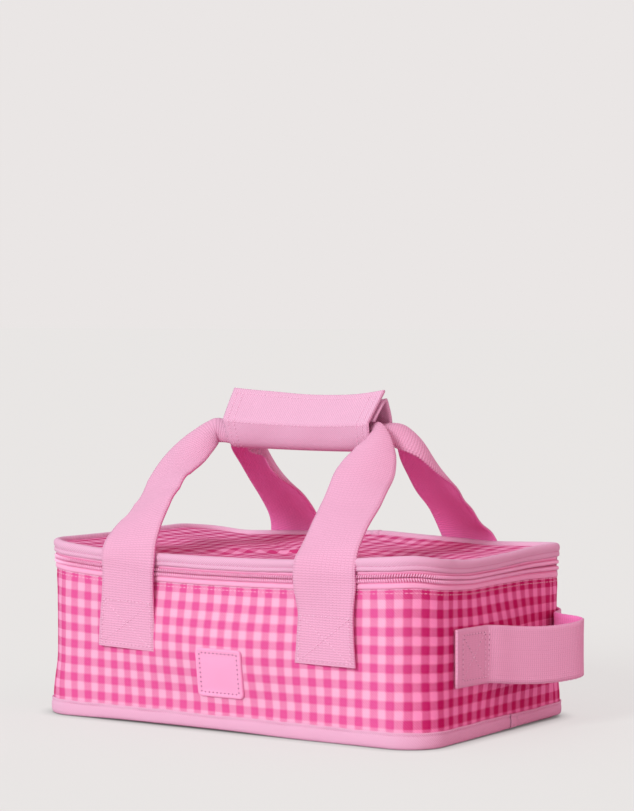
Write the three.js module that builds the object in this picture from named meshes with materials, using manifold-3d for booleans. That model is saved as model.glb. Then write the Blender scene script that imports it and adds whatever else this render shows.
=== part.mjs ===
// Soft insulated lunch bag: zipped gingham box, hinged lid, two webbing handles
// joined by a wrap-around grip, and a webbing loop on one end.
// Millimetres, +Z up, origin at the middle of the base, front face towards -Y.
import * as THREE from 'three';
import { mergeVertices } from 'three/addons/utils/BufferGeometryUtils.js';
import Module from 'manifold-3d';

const wasm = await Module();
wasm.setup();

// Driving dimensions: box
const bodyLength = 269;
const bodyDepth = 172;
const wallTop = 88;
const zipLine = 92.5;
const rimTop = 104.2;
const baseCornerRadius = 22;
const wallCornerRadius = 27;
const cornerBlendHeight = 25;
const longFaceBulge = 6;
const shortFaceBulge = 5;
const frontSag = 4;
const lidDish = 4;
const lidSlopeEnd = 14;
const lidFlatStart = 45;

// Driving dimensions: layers
const fabric = 0.8;
const wallFoamThickness = 4;
const baseFoamThickness = 3;
const lidFoamThickness = 3.5;
const seamGap = 0.3;
const faceGap = 0.5;
const looseGap = 1;
const tapeTuck = 3;
const baseBindingHeight = 11.3;
const baseBindingThickness = 0.9;
const baseBindingLip = 4.2;
const lidBindingHeight = 7;
const lidBindingThickness = 3.7;
const lidBindingProud = 1.5;
const lidSeamDrop = 3.2;

// Driving dimensions: zip
const zipBackEnd = 50;
const toothPitch = 4;
const toothClearance = 0.4;
const toothOverlap = 2;
const toothThickness = 1.8;
const teethSpine = 1.4;
const tapeTail = 4;
const sliderLength = 12;
const sliderHeight = 8.8;
const sliderNarrowHeight = 7.6;
const sliderPlate = 1.2;
const sliderWedge = 2.4;
const bailSpan = 6.6;
const bailWire = 1.4;
const eyeRadius = 2.4;
const eyeWall = 1.6;
const eyeDrop = 1.1;
const pullLength = 19;
const pullWidth = 9;
const pullThickness = 1.2;

// Driving dimensions: webbing handles and grip
const webbingWidth = 38;
const webbingThickness = 1.9;
const handleSpacing = 138;
const sewnEndBottom = 43.5;
const sewnEndHeight = 29;
const foldGap = 0.4;
const gripLength = 108;
const gripBottom = 158;
const gripHeight = 35.5;
const gripFrontReach = 16.5;
const gripBackReach = 13.5;
const gripWaist = 16.5;
const wrapThickness = 2.4;
const closureTape = 1;
const closureTapeWidth = 14;
const closureMargin = 4;
const flapSeam = 5;
const gatheredWidth = 8;
const gatheredThickness = 6.5;
const gatheredHeight = 11;
const gatheredFrontY = -5.2;
const gatheredBackY = 4.5;

// Driving dimensions: patch and end loop
const patchWidth = 32;
const patchHeight = 28;
const patchBottom = 20;
const patchThickness = 1.8;
const patchCorner = 3;
const loopWidth = 32;
const loopBottom = 31.5;
const loopSewnFront = -53.5;
const loopSewnLength = 29;
const loopReach = 24;
const loopBackY = 48;

// Facets
const longSteps = 8;
const shortSteps = 6;
const cornerSteps = 4;
const handleSteps = 14;
const loopSteps = 22;

// Colours taken from the object
const gingham = 0xe8549f;
const plainPink = 0xf49bcb;
const webbingPink = 0xf29ccb;
const liningGrey = 0xd9dbdd;
const foamWhite = 0xf4f2ee;
const zipPink = 0xd66aa8;
const rubberPink = 0xf18fc4;

const up = new THREE.Vector3(0, 0, 1);

function smooth(t) {
  return t * t * (3 - 2 * t);
}

function clamp01(t) {
  return Math.min(1, Math.max(0, t));
}

function addPiece(parent, name, geometry, color, roughness = 0.9, metalness = 0) {
  const material = new THREE.MeshStandardMaterial({ color, roughness, metalness });
  const mesh = new THREE.Mesh(geometry, material);
  mesh.name = name;
  parent.add(mesh);
  return mesh;
}

// Closed surfaces made from rings or sections of points

function signedVolume(points, faces) {
  let volume = 0;
  for (const [a, b, c] of faces) {
    volume += points[a].dot(points[b].clone().cross(points[c])) / 6;
  }
  return volume;
}

function solidFromFaces(points, faces) {
  const outward = signedVolume(points, faces) > 0;
  const geometry = new THREE.BufferGeometry();
  geometry.setFromPoints(points);
  geometry.setIndex(faces.flatMap(([a, b, c]) => (outward ? [a, b, c] : [a, c, b])));
  geometry.computeVertexNormals();
  return geometry;
}

// Every four-sided patch is split from its lower start to its upper end, so that layers nest.
function joinRings(faces, points, first, second, count) {
  const rising = points[second].z >= points[first].z;
  for (let i = 0; i < count; i += 1) {
    const j = (i + 1) % count;
    if (rising) {
      faces.push([first + i, first + j, second + j], [first + i, second + j, second + i]);
    } else {
      faces.push([first + i, first + j, second + i], [first + j, second + j, second + i]);
    }
  }
}

// Sections joined along a path; a path that does not close gets flat end caps.
function sweepSections(sections, closedPath, capFaces = [[0, 1, 2], [0, 2, 3]]) {
  const count = sections[0].length;
  const points = sections.flat();
  const faces = [];
  const links = closedPath ? sections.length : sections.length - 1;
  for (let k = 0; k < links; k += 1) {
    joinRings(faces, points, k * count, ((k + 1) % sections.length) * count, count);
  }
  if (!closedPath) {
    const lastStart = (sections.length - 1) * count;
    for (const [a, b, c] of capFaces) {
      faces.push([a, c, b]);
      faces.push([lastStart + a, lastStart + b, lastStart + c]);
    }
  }
  return solidFromFaces(points, faces);
}

// Which three corners each triangle of a flat cap joins, turning the way the section runs.
function capOf(flatPoints) {
  const turnsLeft = !THREE.ShapeUtils.isClockWise(flatPoints);
  const faces = THREE.ShapeUtils.triangulateShape(flatPoints, []);
  return faces.map(([a, b, c]) => {
    const area = THREE.ShapeUtils.area([flatPoints[a], flatPoints[b], flatPoints[c]]);
    return (area > 0) === turnsLeft ? [a, b, c] : [a, c, b];
  });
}

// Closed rings stacked one after the other, with a fan to the middle of the first and last.
function stackRings(rings) {
  const count = rings[0].length;
  const points = rings.flat();
  const faces = [];
  for (let k = 0; k < rings.length - 1; k += 1) {
    joinRings(faces, points, k * count, (k + 1) * count, count);
  }
  const fan = (ring, start, first) => {
    const middle = new THREE.Vector3();
    ring.forEach((point) => middle.add(point));
    points.push(middle.divideScalar(count));
    for (let i = 0; i < count; i += 1) {
      const j = (i + 1) % count;
      const edge = first ? [start + j, start + i] : [start + i, start + j];
      faces.push([...edge, points.length - 1]);
    }
  };
  fan(rings[0], 0, true);
  fan(rings.at(-1), (rings.length - 1) * count, false);
  return solidFromFaces(points, faces);
}

function toManifold(geometry) {
  const bare = geometry.clone();
  bare.deleteAttribute('normal');
  bare.deleteAttribute('uv');
  const merged = mergeVertices(bare, 1e-4);
  return new wasm.Manifold(new wasm.Mesh({
    numProp: 3,
    vertProperties: new Float32Array(merged.attributes.position.array),
    triVerts: new Uint32Array(merged.index.array),
  }));
}

function fromManifold(solid) {
  const { vertProperties, triVerts } = solid.getMesh();
  const geometry = new THREE.BufferGeometry();
  geometry.setAttribute('position', new THREE.BufferAttribute(vertProperties, 3));
  geometry.setIndex(new THREE.BufferAttribute(triVerts, 1));
  geometry.computeVertexNormals();
  return geometry;
}

// Outline of the bag. Stations run from the back of the +X end round the front to the back.

const sides = [
  { normal: [1, 0], along: [0, -1], bulge: shortFaceBulge, steps: shortSteps, sag: 0 },
  { normal: [0, -1], along: [-1, 0], bulge: longFaceBulge, steps: longSteps, sag: frontSag },
  { normal: [-1, 0], along: [0, 1], bulge: shortFaceBulge, steps: shortSteps, sag: 0 },
  { normal: [0, 1], along: [1, 0], bulge: longFaceBulge, steps: longSteps, sag: 0 },
];
const rightSide = 0;
const frontSide = 1;
const leftSide = 2;
const backSide = 3;

// Share of the soft wall's height, from the top of the base binding to the top of the wall.
function wallShare(z) {
  return clamp01((z - baseBindingHeight) / (wallTop - baseBindingHeight));
}

function radiusAt(z) {
  const blend = smooth(clamp01((z - baseBindingHeight) / cornerBlendHeight));
  return THREE.MathUtils.lerp(baseCornerRadius, wallCornerRadius, blend);
}

function bulgeAt(z, amount) {
  return amount * Math.sin(Math.PI * wallShare(z)) ** 2;
}

function halfReach(vector) {
  return vector[0] === 0 ? bodyDepth / 2 : bodyLength / 2;
}

// A point on a side (u runs 0 to 1 over its straight part) or on the corner that follows it.
function outlinePoint(station, z, inset) {
  const side = sides[station.side];
  const [nx, ny] = side.normal;
  const [ax, ay] = side.along;
  const arm = Math.max(radiusAt(z) - inset, seamGap);
  const cornerOut = halfReach(side.normal) - inset - arm;
  const cornerAlong = halfReach(side.along) - inset - arm;
  if (station.turn === undefined) {
    const wave = Math.sin(Math.PI * clamp01(station.u)) ** 2;
    const out = halfReach(side.normal) - inset + bulgeAt(z, side.bulge) * wave;
    const run = cornerAlong * (2 * station.u - 1);
    const sag = side.sag * wave * clamp01(z / rimTop);
    return new THREE.Vector3(nx * out + ax * run, ny * out + ay * run, z - sag);
  }
  const angle = station.turn * Math.PI / 2;
  const outward = cornerOut + arm * Math.cos(angle);
  const forward = cornerAlong + arm * Math.sin(angle);
  return new THREE.Vector3(nx * outward + ax * forward, ny * outward + ay * forward, z);
}

function sideStations(side, from = 0, to = 1) {
  const steps = sides[side].steps;
  return Array.from({ length: steps + 1 }, (_, i) => ({ side, u: THREE.MathUtils.lerp(from, to, i / steps) }));
}

function cornerStations(side) {
  return Array.from({ length: cornerSteps - 1 }, (_, i) => ({ side, turn: (i + 1) / cornerSteps }));
}

// The station of a side at a distance along X or Y, at one height.
function stationAt(side, distance, z) {
  const { along } = sides[side];
  const straight = halfReach(along) - radiusAt(z);
  return { side, u: (distance * (along[0] + along[1]) / straight + 1) / 2 };
}

const wholeOutline = sides.flatMap((_, side) => [...sideStations(side), ...cornerStations(side)]);
const zipEndRight = stationAt(rightSide, zipBackEnd, zipLine).u;
const zipEndLeft = stationAt(leftSide, zipBackEnd, zipLine).u;
const zipLeftRun = sideStations(leftSide, 0, zipEndLeft);
const zipFrontRun = [
  ...sideStations(rightSide, zipEndRight, 1),
  ...cornerStations(rightSide),
  ...sideStations(frontSide),
  ...cornerStations(frontSide),
  zipLeftRun[0],
];
const zipOutline = [...zipFrontRun, ...zipLeftRun.slice(1)];
const hingeEnd = zipBackEnd + seamGap;
const hingeOutline = [
  stationAt(leftSide, hingeEnd, zipLine),
  { side: leftSide, u: 1 },
  ...cornerStations(leftSide),
  ...sideStations(backSide),
  ...cornerStations(backSide),
  { side: rightSide, u: 0 },
  stationAt(rightSide, hingeEnd, zipLine),
];

function ring(z, inset) {
  return wholeOutline.map((station) => outlinePoint(station, z, inset));
}

// A section, given as [inset, height] points, carried round the whole outline.
function band(profile) {
  return sweepSections(profile.map(([inset, z]) => ring(z, inset)), true);
}

// The same along a part of the outline, with its ends capped.
function openBand(profile, stations) {
  const sections = stations.map((station) => profile.map(([inset, z]) => outlinePoint(station, z, inset)));
  return sweepSections(sections, false, capOf(profile.map(([inset, z]) => new THREE.Vector2(inset, z))));
}

// A wall that follows the bulge of the faces. All walls bend at the same heights.
function wallBand(heights, inset, thickness) {
  const outer = heights.map((z) => [inset, z]);
  const inner = heights.map((z) => [inset + thickness, z]).reverse();
  return band([...outer, ...inner]);
}

// Layers of the wall, worked inwards from the outer face
const foamInset = fabric + seamGap;
const liningInset = foamInset + wallFoamThickness + seamGap;
const insideInset = liningInset + fabric + seamGap;
const tapeInset = fabric + seamGap;
const tapeBottom = wallTop - tapeTuck;
const foamTop = tapeBottom - seamGap;
const wallBottom = baseBindingThickness + seamGap;
const lidBindingBottom = rimTop - lidBindingHeight;

const wallBends = [0, 0.2, 0.42, 0.64, 0.84].map((share) => {
  return THREE.MathUtils.lerp(baseBindingHeight, wallTop, share);
});
const foamHeights = [wallBottom, ...wallBends, foamTop];
const wallHeights = [...foamHeights, wallTop];

function makeWalls(parent) {
  addPiece(parent, 'outer_wall', wallBand(wallHeights, 0, fabric), gingham);
  addPiece(parent, 'wall_foam', wallBand(foamHeights, foamInset, wallFoamThickness), foamWhite);
  addPiece(parent, 'wall_lining', wallBand(foamHeights, liningInset, fabric), liningGrey, 0.5);
}

// A point on the flat facets of the outer wall, at a distance along a side, and offset outwards.
function onWall(side, distance, z, offset) {
  const k = Math.max(0, wallHeights.findLastIndex((height) => height <= z));
  const pair = [wallHeights[k], wallHeights[Math.min(k + 1, wallHeights.length - 1)]];
  const ends = pair.map((height) => {
    const { u } = stationAt(side, distance, height);
    const { steps } = sides[side];
    const cell = Math.min(steps - 1, Math.max(0, Math.floor(u * steps)));
    const from = outlinePoint({ side, u: cell / steps }, height, -offset);
    const to = outlinePoint({ side, u: (cell + 1) / steps }, height, -offset);
    return from.lerp(to, u * steps - cell);
  });
  const share = pair[1] > pair[0] ? (z - pair[0]) / (pair[1] - pair[0]) : 0;
  return ends[0].lerp(ends[1], share);
}

function flatPlate(bottom, thickness, inset) {
  return stackRings([ring(bottom, inset), ring(bottom + thickness, inset)]);
}

function makeBase(parent) {
  const outside = -seamGap - baseBindingThickness;
  const lipEdge = outside + baseBindingLip;
  const foamBottom = fabric + seamGap;
  const liningBottom = foamBottom + baseFoamThickness + seamGap;
  addPiece(parent, 'base_panel', flatPlate(0, fabric, lipEdge + seamGap), plainPink);
  addPiece(parent, 'base_foam', flatPlate(foamBottom, baseFoamThickness, insideInset), foamWhite);
  addPiece(parent, 'base_lining', flatPlate(liningBottom, fabric, insideInset), liningGrey, 0.5);
  const binding = band([
    [lipEdge, 0],
    [outside + baseBindingThickness / 2, 0],
    [outside, baseBindingThickness / 2],
    [outside, baseBindingHeight - baseBindingThickness],
    [outside + baseBindingThickness / 2, baseBindingHeight],
    [-seamGap, baseBindingHeight],
    [-seamGap, baseBindingThickness],
    [lipEdge, baseBindingThickness],
  ]);
  addPiece(parent, 'base_binding', binding, plainPink);
}

// Lid: dished panel, foam and lining inside a raised binding
const lidBends = [lidBindingThickness - lidBindingProud + seamGap, lidSlopeEnd, lidFlatStart];
const lidDrops = [0, lidDish / 2, lidDish];

function lidLayer(topAtEdge, thickness, edgeInset) {
  const ringAt = (k, lower) => {
    const inset = Math.max(edgeInset, lidBends[k]);
    const share = k > 0 ? 1 : (inset - lidBends[0]) / (lidBends[1] - lidBends[0]);
    const drop = k > 0 ? lidDrops[k] : share * lidDrops[1];
    return ring(topAtEdge - drop - lower, inset);
  };
  return stackRings([
    ringAt(2, 0), ringAt(1, 0), ringAt(0, 0),
    ringAt(0, thickness), ringAt(1, thickness), ringAt(2, thickness),
  ]);
}

function makeLid(parent) {
  const outside = -lidBindingProud;
  const inside = outside + lidBindingThickness;
  const panelTop = rimTop - lidSeamDrop;
  const foamTopAtEdge = panelTop - fabric - seamGap;
  const liningTop = foamTopAtEdge - lidFoamThickness - seamGap;
  const sliderRoom = tapeInset + fabric + 2 * seamGap + sliderPlate + seamGap;
  addPiece(parent, 'lid_panel', lidLayer(panelTop, fabric, lidBends[0]), gingham);
  addPiece(parent, 'lid_foam', lidLayer(foamTopAtEdge, lidFoamThickness, sliderRoom), foamWhite);
  addPiece(parent, 'lid_lining', lidLayer(liningTop, fabric, sliderRoom), liningGrey, 0.5);
  const round = lidBindingThickness / 3;
  const binding = band([
    [inside - round, lidBindingBottom],
    [outside + round, lidBindingBottom],
    [outside, lidBindingBottom + round],
    [outside, rimTop - round],
    [outside + round, rimTop],
    [inside - round, rimTop],
    [inside, rimTop - round],
    [inside, lidBindingBottom + round],
  ]);
  addPiece(parent, 'lid_binding', binding, plainPink);
}

// Zip: two tapes, and two rows of teeth that mesh across the zip line
const toothTip = toothOverlap / 2;
const spineInner = toothTip + toothClearance;
const rowReach = spineInner + teethSpine;

function makeZipTapes(body, lid) {
  const section = (bottom, top) => [
    [tapeInset, bottom],
    [tapeInset, top],
    [tapeInset + fabric, top],
    [tapeInset + fabric, bottom],
  ];
  const lower = openBand(section(tapeBottom, zipLine - spineInner), zipOutline);
  const upperSection = section(zipLine + spineInner, lidBindingBottom - seamGap);
  const leftStart = stationAt(leftSide, outlinePoint(zipLeftRun[0], zipLine, 0).y + seamGap, zipLine).u;
  const upper = openBand(upperSection, zipFrontRun);
  const upperLeft = openBand(upperSection, sideStations(leftSide, leftStart, zipEndLeft));
  const hinge = openBand(section(tapeBottom, lidBindingBottom - seamGap), hingeOutline);
  addPiece(body, 'lower_zip_tape', lower, plainPink);
  addPiece(lid, 'upper_zip_tape', upper, plainPink);
  addPiece(lid, 'upper_zip_tape_left', upperLeft, plainPink);
  addPiece(body, 'back_hinge_band', hinge, plainPink);
}

// The route of the zip, as a curve that is measured by length.
function zipRoute() {
  const fine = [];
  zipOutline.forEach((station, i) => {
    const next = zipOutline[i + 1];
    fine.push(outlinePoint(station, zipLine, tapeInset));
    if (next && next.side === station.side && next.turn === undefined && station.turn === undefined) {
      fine.push(outlinePoint({ side: station.side, u: (station.u + next.u) / 2 }, zipLine, tapeInset));
    }
  });
  return new THREE.CatmullRomCurve3(fine, false, 'centripetal');
}

// A comb of teeth standing on a continuous edge. direction is 1 where the teeth point up.
function toothComb(route, start, count, direction) {
  const length = route.getLength();
  const toothWidth = toothPitch / 2 - toothClearance;
  const heights = [-rowReach, -spineInner, toothTip];
  const points = [];
  const faces = [];
  const addStation = (distance) => {
    const u = clamp01(distance / length);
    const outward = up.clone().cross(route.getTangentAt(u)).normalize();
    const point = route.getPointAt(u);
    for (const height of heights) {
      for (const depth of [seamGap, seamGap + toothThickness]) {
        points.push(point.clone().addScaledVector(outward, depth).addScaledVector(up, direction * height));
      }
    }
  };
  const quad = (a, b, c, d) => faces.push([a, b, c], [a, c, d]);
  for (let i = 0; i < count; i += 1) {
    addStation(start + i * toothPitch);
    addStation(start + i * toothPitch + toothWidth);
  }
  const pointsPerStation = 6;
  const stations = 2 * count;
  for (let k = 0; k < stations - 1; k += 1) {
    const a = pointsPerStation * k;
    const b = a + pointsPerStation;
    quad(a, b, b + 1, a + 1);
    quad(a, a + 2, b + 2, b);
    quad(a + 1, b + 1, b + 3, a + 3);
    if (k % 2 === 0) {
      quad(a + 2, a + 4, b + 4, b + 2);
      quad(a + 3, b + 3, b + 5, a + 5);
      quad(a + 4, a + 5, b + 5, b + 4);
      quad(a + 2, a + 3, a + 5, a + 4);
      quad(b + 2, b + 4, b + 5, b + 3);
    } else {
      quad(a + 2, a + 3, b + 3, b + 2);
    }
  }
  const last = pointsPerStation * (stations - 1);
  quad(0, 1, 3, 2);
  quad(last, last + 2, last + 3, last + 1);
  return solidFromFaces(points, faces);
}

function makeZipTeeth(body, lid) {
  const route = zipRoute();
  const leftRun = route.getPointAt(1).distanceTo(outlinePoint({ side: leftSide, u: 0 }, zipLine, tapeInset));
  const teethLength = route.getLength() - tapeTail - toothPitch;
  const total = Math.floor(teethLength / toothPitch);
  const mainCount = Math.floor((route.getLength() - leftRun) / toothPitch);
  const leftStart = mainCount * toothPitch;
  const half = toothPitch / 2;
  const rows = [
    [body, 'lower_zip_teeth', 0, mainCount, 1],
    [body, 'lower_zip_teeth_left', leftStart, total - mainCount, 1],
    [lid, 'upper_zip_teeth', half, mainCount, -1],
    [lid, 'upper_zip_teeth_left', leftStart + half, total - mainCount, -1],
  ];
  for (const [parent, name, start, count, direction] of rows) {
    addPiece(parent, name, toothComb(route, start, count, direction), zipPink, 0.5);
  }
}

// Zip slider. In its own frame x runs along the zip, y up across it and z out of the bag,
// with z = 0 on the outer face of the tape.
const plateBack = 2 * seamGap + toothThickness;
const plateFront = plateBack + sliderPlate;
const innerPlateBack = -fabric - seamGap - sliderPlate;
const bailClear = pullThickness + 2 * seamGap;

function block(length, height, depth, x, y, z) {
  return toManifold(new THREE.BoxGeometry(length, height, depth).translate(x, y, z));
}

function sliderBody() {
  const outline = new THREE.Shape();
  const narrow = sliderNarrowHeight / 2;
  const wide = sliderHeight / 2;
  const end = sliderLength / 2;
  outline.moveTo(end, -narrow + 1.5);
  outline.lineTo(end, narrow - 1.5);
  outline.quadraticCurveTo(end, narrow, end - 1.5, narrow);
  outline.lineTo(-end / 3, wide);
  outline.quadraticCurveTo(-end, wide, -end, 0);
  outline.quadraticCurveTo(-end, -wide, -end / 3, -wide);
  outline.lineTo(end - 1.5, -narrow);
  outline.quadraticCurveTo(end, -narrow, end, -narrow + 1.5);
  const depth = plateFront - innerPlateBack;
  const blank = toManifold(new THREE.ExtrudeGeometry(outline, { depth, bevelEnabled: false, curveSegments: 4 })
    .translate(0, 0, innerPlateBack));
  const channel = rowReach + seamGap;
  const roof = plateBack;
  const teethSlot = block(sliderLength + 2, 2 * channel, roof + seamGap, 0, 0, (roof - seamGap) / 2);
  const tapeSlot = block(sliderLength + 2, sliderHeight + 2, fabric + 2 * seamGap, 0, 0, -fabric / 2);
  const wedge = block(sliderWedge, 2 * (toothTip), depth - 2 * seamGap,
    -end + sliderWedge / 2 + seamGap, 0, innerPlateBack + depth / 2);
  return blank.subtract(teethSlot).subtract(tapeSlot).add(wedge);
}

function sliderBail() {
  const arch = new THREE.Shape();
  const half = bailSpan / 2 + bailWire / 2;
  const top = bailClear + bailWire;
  arch.moveTo(-half, -seamGap);
  arch.lineTo(-half, top - 0.6);
  arch.lineTo(-half + 0.6, top);
  arch.lineTo(half - 0.6, top);
  arch.lineTo(half, top - 0.6);
  arch.lineTo(half, -seamGap);
  arch.lineTo(half - bailWire, -seamGap);
  arch.lineTo(half - bailWire, bailClear);
  arch.lineTo(-half + bailWire, bailClear);
  arch.lineTo(-half + bailWire, -seamGap);
  const bail = new THREE.ExtrudeGeometry(arch, { depth: bailWire, bevelEnabled: false });
  bail.translate(0, 0, -bailWire / 2).rotateX(Math.PI / 2).translate(0, 0, plateFront);
  return toManifold(bail);
}

function pullTab() {
  const outer = eyeRadius + eyeWall;
  const tab = new THREE.Shape();
  tab.absarc(0, 0, outer, -Math.PI * 0.2, Math.PI * 1.2, false);
  tab.lineTo(-pullWidth / 2, -pullLength + 2);
  tab.quadraticCurveTo(-pullWidth / 2, -pullLength, -pullWidth / 2 + 2, -pullLength);
  tab.lineTo(pullWidth / 2 - 2, -pullLength);
  tab.quadraticCurveTo(pullWidth / 2, -pullLength, pullWidth / 2, -pullLength + 2);
  const eye = new THREE.Path();
  eye.absarc(0, 0, eyeRadius, 0, 2 * Math.PI, true);
  tab.holes.push(eye);
  const plate = new THREE.ExtrudeGeometry(tab, { depth: pullThickness, bevelEnabled: false, curveSegments: 10 });
  return plate.translate(-bailSpan / 2, -eyeDrop, plateFront + seamGap);
}

function makeSlider(parent) {
  const holder = new THREE.Group();
  const sliderY = zipBackEnd - sliderLength / 2 - seamGap;
  const place = outlinePoint(stationAt(leftSide, sliderY, zipLine), zipLine, tapeInset);
  const frame = new THREE.Matrix4().makeBasis(
    new THREE.Vector3(0, -1, 0),
    new THREE.Vector3(0, 0, 1),
    new THREE.Vector3(-1, 0, 0),
  );
  holder.setRotationFromMatrix(frame);
  holder.position.copy(place);
  addPiece(holder, 'zip_slider', fromManifold(sliderBody().add(sliderBail())), zipPink, 0.4, 0.3);
  addPiece(holder, 'slider_pull', pullTab(), zipPink, 0.4, 0.3);
  parent.add(holder);
}

// A sheet that lies on one face of the wall, between two heights. halfWidth may change with height.
function facePatch(side, centre, heights, halfWidth, thickness) {
  const columns = [-1, -0.5, 0, 0.5, 1];
  const rows = heights.map((z) => {
    const layer = (offset) => columns.map((share) => onWall(side, centre + share * halfWidth(z), z, offset));
    return [...layer(faceGap + thickness), ...layer(faceGap).reverse()];
  });
  const flat = [
    ...columns.map((share) => new THREE.Vector2(share, 1)),
    ...columns.map((share) => new THREE.Vector2(-share, 0)),
  ];
  return sweepSections(rows, false, capOf(flat));
}

function makePatch(parent) {
  const top = patchBottom + patchHeight;
  const turn = (angle) => patchCorner * (1 - Math.cos(angle));
  const ends = [0, turn(Math.PI / 4), patchCorner];
  const heights = [
    ...[...ends].map((rise) => patchBottom + rise),
    patchBottom + patchHeight / 2,
    ...[...ends].reverse().map((rise) => top - rise),
  ];
  const halfWidth = (z) => {
    const rise = Math.min(z - patchBottom, top - z, patchCorner);
    return patchWidth / 2 - patchCorner + Math.sqrt(patchCorner ** 2 - (patchCorner - rise) ** 2);
  };
  addPiece(parent, 'front_patch', facePatch(frontSide, 0, heights, halfWidth, patchThickness), rubberPink, 0.6);
}

// Webbing: a flat ribbon along a centre line, with its width direction given at each point
function ribbon(centres, acrosses, widths, thicknesses) {
  const sections = centres.map((centre, i) => {
    const before = centres[Math.max(0, i - 1)];
    const after = centres[Math.min(centres.length - 1, i + 1)];
    const tangent = after.clone().sub(before).normalize();
    const across = acrosses[i].clone().addScaledVector(tangent, -acrosses[i].dot(tangent)).normalize();
    const normal = tangent.clone().cross(across).normalize();
    const corner = (w, t) => centre.clone()
      .addScaledVector(across, w * widths[i] / 2)
      .addScaledVector(normal, t * thicknesses[i] / 2);
    return [corner(-1, -1), corner(1, -1), corner(1, 1), corner(-1, 1)];
  });
  return sweepSections(sections, false);
}

const sewnEndTop = sewnEndBottom + sewnEndHeight;

function makeSewnEnds(parent) {
  const heights = [0, 1 / 3, 2 / 3, 1].map((share) => sewnEndBottom + share * sewnEndHeight);
  for (const [side, sideName] of [[frontSide, 'front'], [backSide, 'back']]) {
    for (const [sign, endName] of [[-1, 'left'], [1, 'right']]) {
      const sheet = facePatch(side, sign * handleSpacing / 2, heights, () => webbingWidth / 2, webbingThickness);
      addPiece(parent, `sewn_end_${sideName}_${endName}`, sheet, webbingPink);
    }
  }
}

// One handle: up the wall, over the rim, leaning in and turning on edge into the grip.
// face is -1 for the front handle and 1 for the back one.
function handleRoute(side, face, centreY) {
  const level = gripBottom + gatheredHeight;
  const footEdges = [-1, 1].map((sign) => {
    const distance = (handleSpacing + sign * webbingWidth) / 2;
    return onWall(side, distance, sewnEndTop, looseGap + webbingThickness / 2);
  });
  const foot = footEdges[0].clone().lerp(footEdges[1], 0.5);
  foot.z = Math.max(footEdges[0].z, footEdges[1].z) + foldGap;
  const rimOut = bodyDepth / 2 + lidBindingProud + seamGap + webbingThickness / 2;
  const start = new THREE.Vector3(handleSpacing / 2, face * rimOut, rimTop);
  const mouth = new THREE.Vector3(gripLength / 2 + 5, centreY, level);
  const rise = level - start.z;
  const lean = new THREE.CubicBezierCurve3(
    start,
    start.clone().setZ(start.z + 0.2 * rise),
    new THREE.Vector3(handleSpacing / 2 - 3, face * 0.2 * rimOut + centreY, start.z + 0.87 * rise),
    mouth,
  );
  const centres = [foot, start.clone().lerp(foot, 0.4)];
  const acrosses = [new THREE.Vector3(1, 0, 0), new THREE.Vector3(1, 0, 0)];
  const widths = [webbingWidth, webbingWidth];
  const thicknesses = [webbingThickness, webbingThickness];
  for (let i = 0; i <= handleSteps; i += 1) {
    const t = i / handleSteps;
    const angle = Math.PI / 2 * Math.min(1, t / 0.9) ** 1.6;
    const edge = new THREE.Vector3(0, -face * (0.62 + 0.38 * t ** 4), -0.78 * (1 - t ** 4));
    centres.push(lean.getPoint(t));
    acrosses.push(new THREE.Vector3(Math.cos(angle), 0, 0).addScaledVector(edge, Math.sin(angle)));
    const gather = smooth(clamp01((t - 0.62) / 0.36));
    widths.push(THREE.MathUtils.lerp(webbingWidth, gatheredWidth, gather));
    thicknesses.push(THREE.MathUtils.lerp(webbingThickness, gatheredThickness, gather));
  }
  for (const beyond of [1, -6]) {
    centres.push(new THREE.Vector3(gripLength / 2 + beyond, centreY, level));
    acrosses.push(new THREE.Vector3(0, -face, 0));
    widths.push(gatheredWidth);
    thicknesses.push(gatheredThickness);
  }
  return { centres, acrosses, widths, thicknesses };
}

function makeHandle(side, face, centreY) {
  const right = handleRoute(side, face, centreY);
  const mirror = (vector) => new THREE.Vector3(-vector.x, vector.y, vector.z);
  const centres = [...right.centres, ...right.centres.map(mirror).reverse()];
  const turned = right.acrosses.map((across) => mirror(across).negate()).reverse();
  const bothWays = (list) => [...list, ...[...list].reverse()];
  return ribbon(centres, [...right.acrosses, ...turned], bothWays(right.widths), bothWays(right.thicknesses));
}

// Grip: a wrap sewn to the back handle and a flap that closes over it, as sheets bent in the YZ plane
const wristZ = gripBottom + gripWaist;
const flapWaist = new THREE.Vector2(-gripFrontReach + wrapThickness / 2, wristZ);
const flapTop = new THREE.Vector2(-wrapThickness / 6, gripBottom + gripHeight - wrapThickness / 3);
const flapRun = flapTop.clone().sub(flapWaist);
const flapAlong = flapRun.clone().normalize();
const flapInward = new THREE.Vector2(flapAlong.y, -flapAlong.x);
const hookOffset = wrapThickness / 2 + seamGap + closureTape / 2;
const loopOffset = hookOffset + closureTape + seamGap;
const tuckOffset = loopOffset + closureTape / 2 + seamGap + wrapThickness / 2;
const flapHingeY = -3;

function onFlap(distance, offset) {
  return flapWaist.clone().addScaledVector(flapAlong, distance).addScaledVector(flapInward, offset);
}

function bentSheet(centreLine, thickness, length) {
  const edge = (sign) => centreLine.map((point, i) => {
    const before = centreLine[Math.max(0, i - 1)];
    const after = centreLine[Math.min(centreLine.length - 1, i + 1)];
    const run = after.clone().sub(before).normalize();
    return point.clone().add(new THREE.Vector2(-run.y, run.x).multiplyScalar(sign * thickness / 2));
  });
  const shape = new THREE.Shape([...edge(1), ...edge(-1).reverse()]);
  const sheet = new THREE.ExtrudeGeometry(shape, { depth: length, bevelEnabled: false });
  sheet.translate(0, 0, -length / 2);
  return sheet.applyMatrix4(new THREE.Matrix4().makeBasis(
    new THREE.Vector3(0, 1, 0),
    new THREE.Vector3(0, 0, 1),
    new THREE.Vector3(1, 0, 0),
  ));
}

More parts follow.
